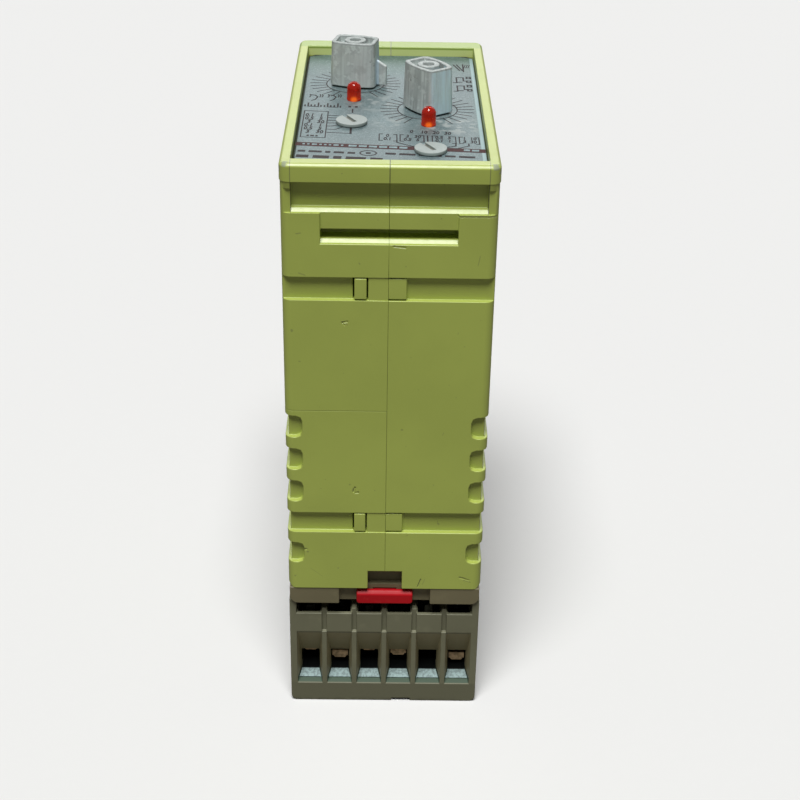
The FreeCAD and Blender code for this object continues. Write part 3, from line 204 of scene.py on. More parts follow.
class Look:
    """A procedural material on one Principled shader."""

    def __init__(self, name, base, **constants):
        self.base = base
        self.material = bpy.data.materials.new(name)
        self.material.use_nodes = True
        self.tree = self.material.node_tree
        self.shader = self.tree.nodes["Principled BSDF"]
        for key, value in constants.items():
            self.shader.inputs[key.replace("_", " ").title().replace("Ior", "IOR")].default_value = value
        self.place = self.node("ShaderNodeTexCoord", "Object")

    def node(self, kind, output, inputs=None, **settings):
        """One output of a new node."""
        made = self.tree.nodes.new(kind)
        for key, value in settings.items():
            setattr(made, key, value)
        for key, value in (inputs or {}).items():
            if isinstance(value, Wire):
                self.tree.links.new(value.socket, made.inputs[key])
            else:
                made.inputs[key].default_value = value
        return Wire(self, made.outputs[output])

    def math(self, operation, first, second):
        return self.node("ShaderNodeMath", 0, {0: first, 1: second}, operation=operation)

    def axes(self):
        split = self.node("ShaderNodeSeparateXYZ", "X", {"Vector": self.place}).socket.node
        return [Wire(self, split.outputs[axis]) for axis in "XYZ"]

    def noise(self, scale, detail, stretch=(1.0, 1.0, 1.0)):
        drawn = self.node("ShaderNodeVectorMath", "Vector", {0: self.place, 1: stretch}, operation="MULTIPLY")
        return self.node("ShaderNodeTexNoise", "Fac", {"Vector": drawn, "Scale": scale, "Detail": detail})

    def gap(self, point):
        """Distance from a point of the object."""
        return self.node("ShaderNodeVectorMath", "Value", {0: self.place, 1: point}, operation="DISTANCE")

    def mix(self, factor, first, second):
        first, second = (shade if isinstance(shade, Wire) else (*shade, 1.0) for shade in (first, second))
        return self.node("ShaderNodeMix", 2, {0: factor, 6: first, 7: second}, data_type="RGBA")

    def coat(self, mask, shade):
        """Lay a colour over those before it, as far as the mask says."""
        self.base = self.mix(mask, self.base, shade)
        self.feed("Base Color", self.base)

    def feed(self, name, wire):
        self.tree.links.new(wire.socket, self.shader.inputs[name])

    def bump(self, height, distance, strength):
        self.feed("Normal", self.node("ShaderNodeBump", "Normal",
                                      {"Height": height, "Distance": distance, "Strength": strength}))


def tint(shade, factor):
    """A colour made lighter or darker."""
    return tuple(min(1.0, value * factor) for value in shade)


def select_only(thing):
    bpy.ops.object.select_all(action="DESELECT")
    thing.select_set(True)
    bpy.context.view_layer.objects.active = thing


def start_edit(piece):
    select_only(piece)
    bpy.ops.object.mode_set(mode="EDIT")
    bpy.ops.mesh.select_all(action="SELECT")


def end_edit():
    bpy.ops.object.mode_set(mode="OBJECT")


def widen(middle, wide, tall):
    """Stretch what is selected in X and Y from a middle."""
    bpy.ops.transform.resize(value=(wide, tall, 1.0), center_override=middle)


def apply_place(piece):
    """Put a piece's place into its mesh."""
    select_only(piece)
    bpy.ops.object.transform_apply()


def begin(name):
    """Name the piece that was just added, put its place into its mesh and start to edit it."""
    piece = bpy.context.active_object
    piece.name = name
    apply_place(piece)
    start_edit(piece)
    return piece


def put(name, data, matrix=Matrix()):
    """A new object in the scene."""
    made = bpy.data.objects.new(name, data)
    made.matrix_world = matrix
    bpy.context.scene.collection.objects.link(made)
    return made


def copy_of(node, name):
    """A joined-up copy of a CAD node's mesh, flat faces merged."""
    piece = put(name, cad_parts[node].data.copy())
    piece.data.materials.clear()
    start_edit(piece)
    bpy.ops.mesh.customdata_custom_splitnormals_clear()
    bpy.ops.mesh.remove_doubles(threshold=WELD)
    bpy.ops.mesh.dissolve_limited(angle_limit=FLAT_TURN)
    end_edit()
    return piece


def face_width(corners, normal, index, sharp):
    """How far the rounding of one edge may reach into its face before it meets what lies opposite."""
    count = len(corners)
    start = corners[index]
    along = corners[(index + 1) % count] - start
    reach = along.length
    along.normalize()
    inward = normal.cross(along)
    flat = [((corner - start).dot(along), (corner - start).dot(inward)) for corner in corners]
    least = 1.0
    for other in range(count):
        if (other - index + 1) % count < 3:
            continue
        (near, low), (far, high) = flat[other], flat[(other + 1) % count]
        for share in ACROSS:
            at = reach * share
            if (near - at) * (far - at) < 0:
                depth = low + (high - low) * (at - near) / (far - near)
                if depth > 0:
                    least = min(least, depth * (ROOM_BY_SHARP if sharp[other] else ROOM_BY_PLAIN))
    return least


def edge_room(piece, width):
    """Share of the rounding's width that narrow faces and short steps leave to each run of sharp edges."""
    points = piece.data.vertices
    room = {edge.key: 1.0 for edge in piece.data.edges if edge.select}
    for face in piece.data.polygons:
        corners = [points[end].co for end in face.vertices]
        sharp = [key in room for key in face.edge_keys]
        for index, key in enumerate(face.edge_keys):
            if sharp[index]:
                room[key] = min(room[key], face_width(corners, face.normal, index, sharp) / width)
    runs = {}
    for key in room:
        for end, other in (key, reversed(key)):
            runs.setdefault(end, []).append((key, points[other].co - points[end].co))
    joined = []
    for found in runs.values():
        for key, run in found:
            onward = [other for other, next_run in found
                      if other != key and run.angle(next_run) > RUN_TURN]
            joined += [(key, other) for other in onward]
            if not onward:
                for other, _ in found:
                    room[other] = min(room[other], ROOM_AT_STEP * run.length / width)
    uneven = True
    while uneven:
        uneven = False
        for first, second in joined:
            if room[first] > room[second]:
                room[first] = room[second]
                uneven = True
    return room


def pull_in(piece, low, high):
    """Bring points that the rounding pushed out of a piece's box back among their neighbours."""
    points = piece.data.vertices
    inside = [all(low[axis] - WELD < point.co[axis] < high[axis] + WELD for axis in range(3))
              for point in points]
    beside = {}
    for edge in piece.data.edges:
        for end, other in (edge.vertices, reversed(edge.vertices)):
            if not inside[end] and inside[other]:
                beside.setdefault(end, []).append(points[other].co)
    for end, places in beside.items():
        points[end].co = sum(places, Vector()) / len(places)


def soften(piece, width, segments, seam):
    """Round the sharp edges of a piece, those at the seam by a share of the width, and smooth its shading."""
    start_edit(piece)
    bpy.ops.mesh.select_mode(type="EDGE")
    bpy.ops.mesh.select_all(action="DESELECT")
    bpy.ops.mesh.edges_select_sharp(sharpness=SHARP_TURN)
    end_edit()
    points = piece.data.vertices
    low = [min(point.co[axis] for point in points) for axis in range(3)]
    high = [max(point.co[axis] for point in points) for axis in range(3)]
    room = edge_room(piece, width)
    weights = piece.data.attributes.new("bevel_weight_edge", "FLOAT", "EDGE").data
    for edge in piece.data.edges:
        first, second = (points[end].co for end in edge.vertices)
        share = room.get(edge.key, 0.0)
        if abs(first.x) < SEAM and abs(second.x) < SEAM:
            share = min(share, seam)
        weights[edge.index].value = share
    edges = piece.modifiers.new("edges", "BEVEL")
    edges.width = width
    edges.segments = segments
    edges.limit_method = "WEIGHT"
    edges.use_clamp_overlap = False
    bpy.ops.object.modifier_apply(modifier="edges")
    pull_in(piece, low, high)
    bpy.ops.object.shade_smooth_by_angle(angle=SMOOTH_TURN)
    flat = piece.modifiers.new("flat", "WEIGHTED_NORMAL")
    flat.weight = 100
    flat.keep_sharp = True
    bpy.ops.object.modifier_apply(modifier="flat")


def settle(piece, body, look, slot, *nodes):
    """Give a piece its finish, the body it rides on and the nodes it stands for."""
    piece.data.materials.clear()
    piece.data.materials.append(look.material)
    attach(piece, body)
    if nodes:
        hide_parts(*nodes)


def dress(node, name, body, look, slot, width, segments=2, seam=1.0):
    """Put a copy with rounded edges in the place of a node."""
    piece = copy_of(node, name)
    soften(piece, width, segments, seam)
    settle(piece, body, look, slot, node)


def finish_nodes(look, *nodes):
    """Give CAD nodes a finish."""
    for node in nodes:
        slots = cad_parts[node].data.materials
        slots.clear()
        slots.append(look.material)


def plastic(name, shade, roughness, grain=1400.0, spread=0.06, relief=0.00002, **constants):
    """Moulded plastic with faint clouds and a fine grain."""
    look = Look(name, tint(shade, 1.0 - spread), roughness=roughness, **constants)
    look.coat(look.noise(60.0, 4.0).step(0.3, 0.7), tint(shade, 1.0 + spread))
    look.fine = look.noise(grain, 3.0)
    look.feed("Roughness", roughness + 0.12 * (look.fine - 0.5))
    if relief:
        look.bump(look.fine, relief, 0.25)
    return look


def metal(name, dark, pale, scale, detail, least, spread, stretch=(1.0, 1.0, 1.0), metallic=1.0):
    """Bare metal with a grain from dark to pale, as rough as least and up to spread rougher."""
    look = Look(name, dark, metallic=metallic, roughness=least + spread / 2)
    grain = look.noise(scale, detail, stretch)
    look.coat(grain, pale)
    if spread:
        look.feed("Roughness", least + spread * grain)
    return look


def aimed(place, direction):
    """A light's matrix at a place, pointing along a direction."""
    return Matrix.Translation(place) @ direction.to_track_quat("-Z", "Y").to_matrix().to_4x4()


class RELAY_OT_housing(bpy.types.Operator):
    """Dress the two green housing halves"""

    bl_idname = "relay.housing"
    bl_label = "Housing"

    # marks on the latch end: middle in X and Z, half length and half width in millimetres, turn, strength
    SCUFFS = {
        "left": (
            (-9.6, 104.5, 0.7, 0.12, 10, 0.5), (-8.8, 103.9, 0.4, 0.1, -50, 0.5),
            (-7.5, 62.2, 0.5, 0.14, 75, 0.5), (-18.5, 45.8, 0.3, 0.18, 20, 0.6),
            (-17.9, 44.9, 0.3, 0.2, 0, 0.6), (-18.8, 44, 0.2, 0.15, 30, 0.5),
            (-15.5, 38.8, 1.6, 0.09, -40, 0.3), (-16.6, 39.7, 1.2, 0.08, -40, 0.3),
            (-18.8, 124.7, 0.7, 0.2, 10, 0.4), (-18.2, 115.5, 1, 0.2, -20, 0.35),
            (-19, 94.8, 0.3, 0.2, 0, 0.35),
        ),
        "right": (
            (8, 36.3, 1.6, 0.12, 72, 0.75), (9.1, 36.7, 1.1, 0.08, 70, 0.5), (18, 38.1, 1, 0.1, -12, 0.5),
            (19.2, 37, 1.2, 0.14, -20, 0.55), (10.3, 135.7, 0.28, 0.26, 0, 0.95),
            (18.8, 119, 1.4, 0.12, 80, 0.4), (1.4, 121.9, 0.9, 0.16, -14, 0.5),
            (3, 121.7, 0.6, 0.12, 8, 0.4), (12.5, 77, 0.5, 0.1, 70, 0.35), (15, 102, 0.3, 0.1, 70, 0.35),
        ),
    }
    DENTS = {
        "left": (
            (-9.2, 104.4, 0.8, 0.3, 10, 0.8), (-9.5, 103.9, 0.5, 0.2, -50, 0.7),
            (-7.1, 62.1, 0.9, 0.3, 75, 1.0), (-6.6, 61.3, 0.6, 0.3, 10, 1.0),
            (-18.4, 45.6, 0.5, 0.3, 20, 0.7),
        ),
        "right": (
            (18.6, 37.6, 1.4, 0.3, -20, 0.9), (8.1, 36.3, 1.4, 0.2, 72, 0.6),
            (2.2, 121.9, 1.6, 0.3, -6, 0.8),
        ),
    }

    def execute(self, context):
        sizes = context.scene.relay_sizes
        for side in ("left", "right"):
            dress(f"{side}_shell", f"{side}_housing", "relay_on_socket", self.finish(context, side),
                  "green_plastic", sizes.housing_edge, seam=0.35)
        return {"FINISHED"}

    def finish(self, context, side):
        colours = context.scene.relay_colours
        gloss = 0.37
        look = plastic(f"{side}_green", colours.housing, gloss, 900.0, 0.035, 0.0, specular_ior_level=0.7)
        x, y, z = look.axes()
        front = y.step(HOUSING_FRONT + 0.0012, HOUSING_FRONT + 0.0004)
        dirt = look.noise(700.0, 2.0).step(0.735, 0.76) * 0.4
        for place in self.SCUFFS[side]:
            dirt = dirt.over(self.streak(x, z, *place) * front)
        neck_line = abs(x).band(0.02024, 0.02036, 0.00005) * z.step(0.1291, 0.1293) * y.step(-0.0402, -0.0406)
        rim_seam = abs(x).step(0.00016, SEAM) * z.step(RIM_FOOT, RIM_FOOT + 0.0002)
        dirt = dirt.over(neck_line * 0.7).over(rim_seam * 0.55)
        # painted light: the rim's inner wall at the back is drawn lighter, as where it is lit
        wall = (y.step(RIM_BACK, RIM_BACK + 0.0005) * z.band(PLATE_TOP, RIM_TOP, 0.0002)
                * y.step(0.0405, 0.04) * abs(x).step(RIM_INSIDE + 0.0001, RIM_INSIDE - 0.0001))
        look.coat(wall, colours.lit_rim_wall)
        # painted shade: the top of the rim at the back is drawn darker
        top = y.step(RIM_BACK - 0.0003, RIM_BACK + 0.0003) * z.step(RIM_TOP - 0.0001, RIM_TOP + 0.0001)
        look.coat(top, colours.shaded_rim_top)
        relief = look.fine * 0.003
        for place in self.DENTS[side]:
            relief = relief - self.streak(x, z, *place) * front
        ragged = (look.noise(1300.0, 4.0) - 0.5) * 0.0024
        chips = self.chips(look, side, ragged)
        if side == "left":
            relief = relief - z.band(0.08248, 0.08262, 0.00006) * front * 0.5
        else:
            torn = (z + 0.3 * ragged).band(0.12865, 0.12895, 0.0001) * x.step(0.0138, 0.0146) * front
            relief = relief - torn
            dirt = dirt.over(torn * 0.35)
        look.coat(dirt, colours.grime)
        look.coat(chips, colours.chip)
        look.feed("Roughness", gloss + 0.12 * (look.fine - 0.5) + 0.3 * chips)
        look.bump(relief, 0.00025, 0.9)
        return look

    def streak(self, x, z, middle_x, middle_z, half, thin, turn, strength):
        """A soft streak on the latch end."""
        lean = math.radians(turn)
        beside, above = x - middle_x * MM, z - middle_z * MM
        along = beside * math.cos(lean) + above * math.sin(lean)
        across = above * math.cos(lean) - beside * math.sin(lean)
        half, thin = half * MM, thin * MM
        return abs(along).step(half, half * 0.6) * abs(across).step(thin, thin * 0.4) * strength

    def chips(self, look, side, ragged):
        """Bare corners at the latch end of the rim."""
        sign = -1 if side == "left" else 1
        worn = (look.gap((sign * 0.0215, -0.0425, 0.1396)) + ragged).step(0.0009, 0.0006)
        edge = (look.gap((sign * 0.0221, -0.0418, 0.1386)) + ragged).step(0.0007, 0.0004)
        return worn.over(edge) * 0.8


class Ink:
    """Flat marks gathered in one mesh on the face of the plate, with places and lengths in millimetres."""

    def __init__(self, name, level):
        self.level = level
        bpy.ops.mesh.primitive_plane_add(size=0.0002, location=(0.0, 0.0, level))
        self.piece = begin(name)
        bpy.ops.mesh.delete(type="FACE")

    def bar(self, x, y, wide, tall, turn=0.0):
        """A straight mark given by its middle, its two sides and its turn in degrees."""
        middle = (x * MM, y * MM, self.level)
        bpy.ops.mesh.select_all(action="DESELECT")
        bpy.ops.mesh.primitive_plane_add(size=MM, location=middle)
        widen(middle, wide, tall)
        if turn:
            bpy.ops.transform.rotate(value=-math.radians(turn), orient_axis="Z", center_override=middle)

    def span(self, start, end):
        """Length and turn in degrees of the way between two points."""
        aside, up = end[0] - start[0], end[1] - start[1]
        return math.hypot(aside, up), math.degrees(math.atan2(up, aside))

    def line(self, start, end, wide):
        """A straight line between two points."""
        reach, turn = self.span(start, end)
        self.bar((start[0] + end[0]) / 2, (start[1] + end[1]) / 2, reach + wide, wide, turn)

    def path(self, points, wide):
        for start, end in zip(points, points[1:]):
            self.line(start, end, wide)

    def row(self, start, end, tall, lengths, gap):
        """Plain bars one after another from start to end, their lengths by turns."""
        reach, turn = self.span(start, end)
        along = 0.0
        count = 0
        while along + lengths[count % len(lengths)] <= reach:
            wide = lengths[count % len(lengths)]
            share = (along + wide / 2) / reach
            x, y = (near + (far - near) * share for near, far in zip(start, end))
            self.bar(x, y, wide, tall, turn)
            along += wide + gap
            count += 1

    def ring(self, x, y, radius, wide, flat=1.0):
        """A ring, pressed flat along Y by a share."""
        middle = (x * MM, y * MM, self.level)
        inner = radius - wide / 2
        bpy.ops.mesh.select_all(action="DESELECT")
        bpy.ops.mesh.primitive_circle_add(vertices=72, radius=inner * MM, location=middle)
        widen(middle, 1.0, flat)
        bpy.ops.mesh.extrude_edges_move()
        ratio = (radius + wide / 2) / inner
        widen(middle, ratio, ratio)

    def fan(self, x, y, start, end, wide, first, last, count):
        """Ticks between two radii, turned from the first angle to the last; 0 points to the back."""
        for index in range(count):
            lean = math.radians(90 - first - (last - first) * index / (count - 1))
            near = (x + start * math.cos(lean), y + start * math.sin(lean))
            far = (x + end * math.cos(lean), y + end * math.sin(lean))
            self.line(near, far, wide)

    def close(self, height):
        """Give the marks their thickness."""
        bpy.ops.mesh.select_all(action="SELECT")
        bpy.ops.mesh.extrude_region_move(TRANSFORM_OT_translate={"value": (0.0, 0.0, height)})
        bpy.ops.mesh.select_all(action="SELECT")
        bpy.ops.mesh.normals_make_consistent(inside=False)
        end_edit()
        return self.piece


def numbers(name, entries, level, height):
    """Plain narrow numbers as flat mesh: each entry has its figures, place and size in millimetres."""
    made = []
    for figures, x, y, size in entries:
        bpy.ops.object.text_add(location=(x * MM, y * MM, level),
                                rotation=(0.0, 0.0, math.radians(PRINT_TURN)))
        text = bpy.context.active_object
        text.data.body = figures
        text.data.size = size * MM
        text.data.align_x = text.data.align_y = "CENTER"
        text.data.resolution_u = 2
        text.data.extrude = height / 2
        text.data.offset = 0.03 * size * MM
        text.scale.x = 0.62
        bpy.ops.object.convert(target="MESH")
        apply_place(text)
        made.append(text)
    select_only(made[0])
    for text in made:
        text.select_set(True)
    bpy.ops.object.join()
    made[0].name = name
    return made[0]


class RELAY_OT_plate(bpy.types.Operator):
    """Finish the front plate and lay its print"""

    bl_idname = "relay.plate"
    bl_label = "Front plate"

    def execute(self, context):
        sizes = context.scene.relay_sizes
        colours = context.scene.relay_colours
        self.face(colours)
        ink = self.ink_finish("plate_ink", colours.ink)
        lines = Ink("plate_lines", PLATE_TOP + LINE_LIFT)
        wide = sizes.line / MM
        self.dials(lines, sizes, wide)
        self.table(lines, wide)
        self.signs(lines, wide)
        self.steps(lines, wide)
        self.values(lines, wide)
        self.rows(lines, wide)
        settle(lines.close(sizes.ink_height), "relay_on_socket", ink, "plate_print")
        digits = numbers("plate_numbers", self.digits(), PLATE_TOP + NUMBER_LIFT, sizes.ink_height)
        settle(digits, "relay_on_socket", ink, "plate_print")
        field = Ink("plate_field", PLATE_TOP + FIELD_LIFT)
        field.bar(0.0, -26.95, 40.3, 2.1, PRINT_TURN)
        brown = self.ink_finish("plate_brown", colours.brown)
        settle(field.close(sizes.ink_height), "relay_on_socket", brown, "plate_print")
        pale = Ink("plate_blocks", PLATE_TOP + BLOCK_LIFT)
        pale.row((-18.6, -25.5), (-9.6, -26.2), 0.7, (0.5, 0.5, 1.1, 0.5), 0.5)
        pale.row((-8.8, -26.3), (3.7, -27.2), 1.0, (1.7,), 0.45)
        pale.row((15.5, -28.1), (19.0, -28.4), 1.0, (1.3, 1.5), 0.4)
        silver = self.ink_finish("plate_bare", tint(colours.plate, 1.5))
        settle(pale.close(sizes.ink_height), "relay_on_socket", silver, "plate_print")
        return {"FINISHED"}

    def face(self, colours):
        shade = colours.plate
        look = Look("plate_silver", tint(shade, 0.9), metallic=0.2, roughness=0.4, specular_ior_level=0.3)
        x, y, _ = look.axes()
        clouds = look.noise(140.0, 4.0)
        brushed = look.noise(500.0, 3.0, (1.0, 0.08, 1.0))
        fine = look.noise(2500.0, 2.0)
        look.coat(clouds.step(0.35, 0.7), tint(shade, 1.1))
        # painted reflection: the green rim mirrored as a mint cast towards the back of the plate
        look.coat(y.step(0.018, 0.034) * 0.7, colours.cast)
        grains = look.noise(3200.0, 4.0)
        look.coat(grains.step(0.52, 0.36) * 0.5, tint(shade, 0.6))
        # pale patches, partly dust and partly painted glare near the lamps
        dust_and_glare = grains.step(0.54, 0.68) * 0.5
        patches = look.noise(450.0, 5.0).step(0.45, 0.62)
        for spot, reach, strength in (((-0.0035, 0.002, PLATE_TOP), 0.009, 0.6),
                                      ((0.0135, -0.0125, PLATE_TOP), 0.01, 0.85),
                                      ((0.0, -0.011, PLATE_TOP), 0.006, 0.6)):
            dust_and_glare = dust_and_glare.over(look.gap(spot).step(reach, reach * 0.25) * patches * strength)
        look.coat(dust_and_glare, colours.haze_and_glare)
        # painted highlight: a pale strip along the right edge, where the curled foil catches light
        look.coat(x.band(0.0194, 0.02, 0.00025) * 0.7, tint(shade, 2.4))
        # painted shadow: dark lines in the gaps along the sides and at the back corners of the plate
        corner = (y + 0.45 * abs(x)).step(0.0447, 0.0452) * 0.85
        edge = x.step(PLATE_SIDE, 0.0202).over(x.step(-0.0197, -PLATE_SIDE)).over(corner)
        look.coat(edge, colours.gap)
        look.feed("Metallic", 0.2 - 0.2 * edge)
        look.feed("Roughness", 0.36 + 0.16 * clouds + 0.1 * (brushed - 0.5) + 0.3 * dust_and_glare + 0.3 * edge)
        look.bump(fine, 0.00001, 0.15)
        finish_nodes(look, "front_plate")

    def ink_finish(self, name, shade):
        look = Look(name, shade, roughness=0.6, specular_ior_level=0.15)
        worn = look.noise(1600.0, 3.0)
        look.coat(worn.step(0.45, 0.8), tint(shade, 1.7))
        look.feed("Roughness", 0.5 + 0.2 * worn)
        return look

    def dials(self, lines, sizes, wide):
        for x, y in (LEFT_DIAL, RIGHT_DIAL):
            lines.ring(x / MM, y / MM, sizes.ring / MM, wide)
            lines.fan(x / MM, y / MM, sizes.tick_start / MM, sizes.tick_end / MM, wide, -150, 150, 25)

    def table(self, lines, wide):
        """Framed table on the left with leads to the selector disc."""
        lines.path([(-19.3, -21.2), (-14.0, -21.6), (-13.9, -4.6), (-19.2, -4.2), (-19.3, -21.2)], wide)
        lines.row((-18.0, -20.2), (-15.0, -20.5), 0.8, (0.5, 0.8), 0.3)
        for lead in (((-13.7, -7.2), (-11.6, -7.4)), ((-13.7, -8.7), (-11.6, -8.9)),
                     ((-13.7, -10.4), (-11.6, -10.6)), ((-13.7, -12.2), (-11.6, -12.1)),
                     ((-13.7, -14.2), (-12.6, -14.1), (-11.0, -13.2)),
                     ((-13.7, -16.2), (-11.8, -16.2), (-10.2, -14.4)), ((-13.7, -18.2), (-8.6, -18.7))):
            lines.path(lead, wide)
        lines.line((-8.6, -18.7), (-8.6, -15.0), wide * 2)

    def signs(self, lines, wide):
        """Marks beside the left lamp and small contact signs on the left."""
        for x in (-9.2, -7.7):
            lines.bar(x, -1.2, 0.6, 0.9)
        lines.bar(-8.5, -4.0, wide * 1.3, 2.6)
        for middle in (-17.1, -12.9):
            lines.path([(middle - 1.2, 6.9), (middle - 0.2, 6.6), (middle + 0.4, 5.4), (middle - 0.1, 3.6),
                        (middle - 0.8, 2.9)], wide * 1.3)
            for x in (middle - 1.4, middle + 0.9, middle + 1.4):
                lines.path([(x, 7.2), (x + 0.2, 6.2), (x, 5.3)], wide)
        for middle in (-17.5, -13.1):
            for offset, tall in ((-1.8, 1.2), (-1.1, 2.6), (-0.4, 1.4), (0.4, 1.4), (1.2, 2.8), (1.8, 1.2)):
                x = middle + offset
                lines.bar(x, tall / 2 - 1.4 - PRINT_FALL * (x + 17), wide * 1.5, tall)
            lines.bar(middle, -1.3 - PRINT_FALL * (middle + 17), 2.4, wide * 1.3, PRINT_TURN)

    def steps(self, lines, wide):
        """Step diagrams on the right."""
        bold = wide * 1.5
        for low, high in ((17.2, 21.0), (10.9, 14.8)):
            lines.path([(14.8, low), (15.6, low), (15.6, high), (17.2, high), (17.2, low + 1.3),
                        (18.0, low + 1.3)], bold)
            lines.path([(15.9, low + 0.4), (16.8, low + 0.4)], bold)
            for level in (low + 0.2, high - 0.7):
                lines.path([(18.0, level), (18.9, level), (18.9, level + 1.2), (18.0, level + 1.2),
                            (18.0, level)], bold)
        lines.path([(15.2, 31.0), (16.6, 26.6)], bold)
        lines.path([(16.0, 31.0), (17.3, 26.4)], bold)
        lines.path([(17.5, 31.2), (17.5, 25.6)], bold)
        for x in (18.1, 18.6, 19.1):
            lines.line((x, 30.8), (x - 0.4, 28.6), wide)

    def values(self, lines, wide):
        """Bracketed value boxes above the right selector, with leads to it."""
        for left, right in ((-2.4, 1.4), (2.1, 7.2), (9.0, 14.0), (14.8, 19.0)):
            for end, turn in ((left, 0.7), (right, -0.7)):
                high = -18.7 - PRINT_FALL * (end + 2.4)
                low = high - 4.0
                lines.path([(end + turn, high), (end, high), (end, low), (end + turn, low)], wide)
        for lead in (((1.4, -22.9), (1.4, -23.8), (3.4, -25.3), (5.4, -26.4)), ((8.0, -19.6), (8.0, -24.6)),
                     ((14.0, -23.9), (13.9, -25.6), (11.6, -26.7)),
                     ((16.7, -24.2), (16.7, -25.5), (13.8, -27.4))):
            lines.path(lead, wide * 1.3)

    def rows(self, lines, wide):
        """Plain rows and an oval below the brown field."""
        lines.row((-19.4, -29.6), (-7.2, -30.6), 1.0, (1.6, 2.8, 1.1, 2.2), 0.7)
        lines.ring(-4.6, -30.5, 1.7, wide * 1.4, 0.85)
        lines.bar(-4.6, -30.5, 1.0, 0.9)
        lines.row((-19.6, -32.6), (-1.2, -34.1), 1.5, (2.6, 3.4, 1.7, 4.2), 0.9)
        lines.row((-1.0, -30.6), (19.3, -32.4), 1.0, (2.2, 3.4, 1.4, 2.7), 0.7)

    def digits(self):
        """Plain numbers of the table, the boxes and the scale above them."""
        entries = []
        for row, (first, second) in enumerate((("0.1", "1"), ("0.5", "5"), ("3", "30")) * 2):
            y = -7.1 - 2.15 * row
            entries.append((first, -17.9, y, 2.6))
            entries.append((second, -15.3, y - 0.15, 2.6))
        for x, upper, lower in ((-0.6, "0", "0.1"), (3.7, "3", "0.5"), (5.9, "30", "5"), (10.5, "0.5", "0.1"),
                                (12.7, "5", "1"), (15.9, "1", "3"), (17.8, "10", "30")):
            drop = PRINT_FALL * (x + 0.6)
            entries.append((upper, x, -19.7 - drop, 2.3))
            entries.append((lower, x, -21.7 - drop, 2.3))
        for x, figures in ((4.6, "0"), (7.3, "10"), (9.9, "20"), (12.4, "30")):
            entries.append((figures, x, -17.0 - 0.12 * (x - 4.6), 2.4))
        return entries


class RELAY_OT_knobs(bpy.types.Operator):
    """Dress the two setting knobs"""

    bl_idname = "relay.knobs"
    bl_label = "Setting knobs"

    # each knob's axis, start and end in X of its flank with a painted bluish sheen, that sheen's colour,
    # streaks and the painted shade of its top
    SIDES = {
        "left": (LEFT_DIAL, -3.5 * MM, -2.9 * MM, (0.55, 0.7, 0.8), 0.09, 0.72),
        "right": (RIGHT_DIAL, 8.9 * MM, 20.0 * MM, (0.68, 0.9, 1.0), 0.2, 0.8),
    }

    def execute(self, context):
        sizes = context.scene.relay_sizes
        for side in ("left", "right"):
            dress(f"{side}_knob", f"{side}_setting_knob", f"{side}_dial", self.finish(context, side),
                  "knob_grey", sizes.knob_edge, 3)
        return {"FINISHED"}

    def finish(self, context, side):
        shade = context.scene.relay_colours.knob
        (axis_x, axis_y), turn, fin, sheen, drawn, top_shade = self.SIDES[side]
        look = Look(f"{side}_knob_grey", tint(shade, 1.0 - drawn), metallic=0.3, roughness=0.4)
        x, y, z = look.axes()
        streaks = look.noise(1700.0, 4.0, (1.0, 1.0, 0.05))
        mottle = look.noise(420.0, 6.0)
        fine = look.noise(2600.0, 3.0)
        # painted reflection: one flank drawn bluer and lighter, as a sheen
        sheen_flank = x.step(turn - 0.0004, turn + 0.0004) * x.step(fin + 0.0002, fin)
        look.coat(streaks.step(0.3, 0.7), tint(shade, 1.0 + drawn))
        look.coat(mottle.step(0.45, 0.62) * 0.6, tint(shade, 0.74))
        look.coat(look.noise(650.0, 5.0).step(0.55, 0.66) * 0.6, tint(shade, 1.3))
        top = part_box(f"{side}_knob")[1].z
        reach = (x - axis_x) * (x - axis_x) + (y - axis_y) * (y - axis_y)
        outer = reach.step((KNOB_HUB - 0.0001) ** 2, (KNOB_HUB + 0.0001) ** 2)
        sheen_flank = sheen_flank * outer * (0.55 + 0.4 * streaks.step(0.3, 0.7))
        look.coat(sheen_flank, sheen)
        # painted shade: the top face and the pocket round the hub drawn darker
        pocket = z.step(top - KNOB_POCKET - 0.0002, top - KNOB_POCKET) * (1.0 - outer)
        level = z.step(top - 0.0006, top - 0.0001).over(pocket)
        look.coat(level, tint(shade, top_shade))
        look.coat(level * look.noise(1100.0, 4.0).step(0.62, 0.42) * 0.6, tint(shade, 0.5))
        look.coat(look.noise(800.0, 2.0).step(0.71, 0.74) * 0.6, tint(shade, 0.35))
        look.feed("Roughness", 0.36 + 0.2 * mottle + 0.1 * fine + 0.15 * level)
        look.bump(0.5 * streaks + 0.5 * mottle, 0.00003, 0.4)
        return look


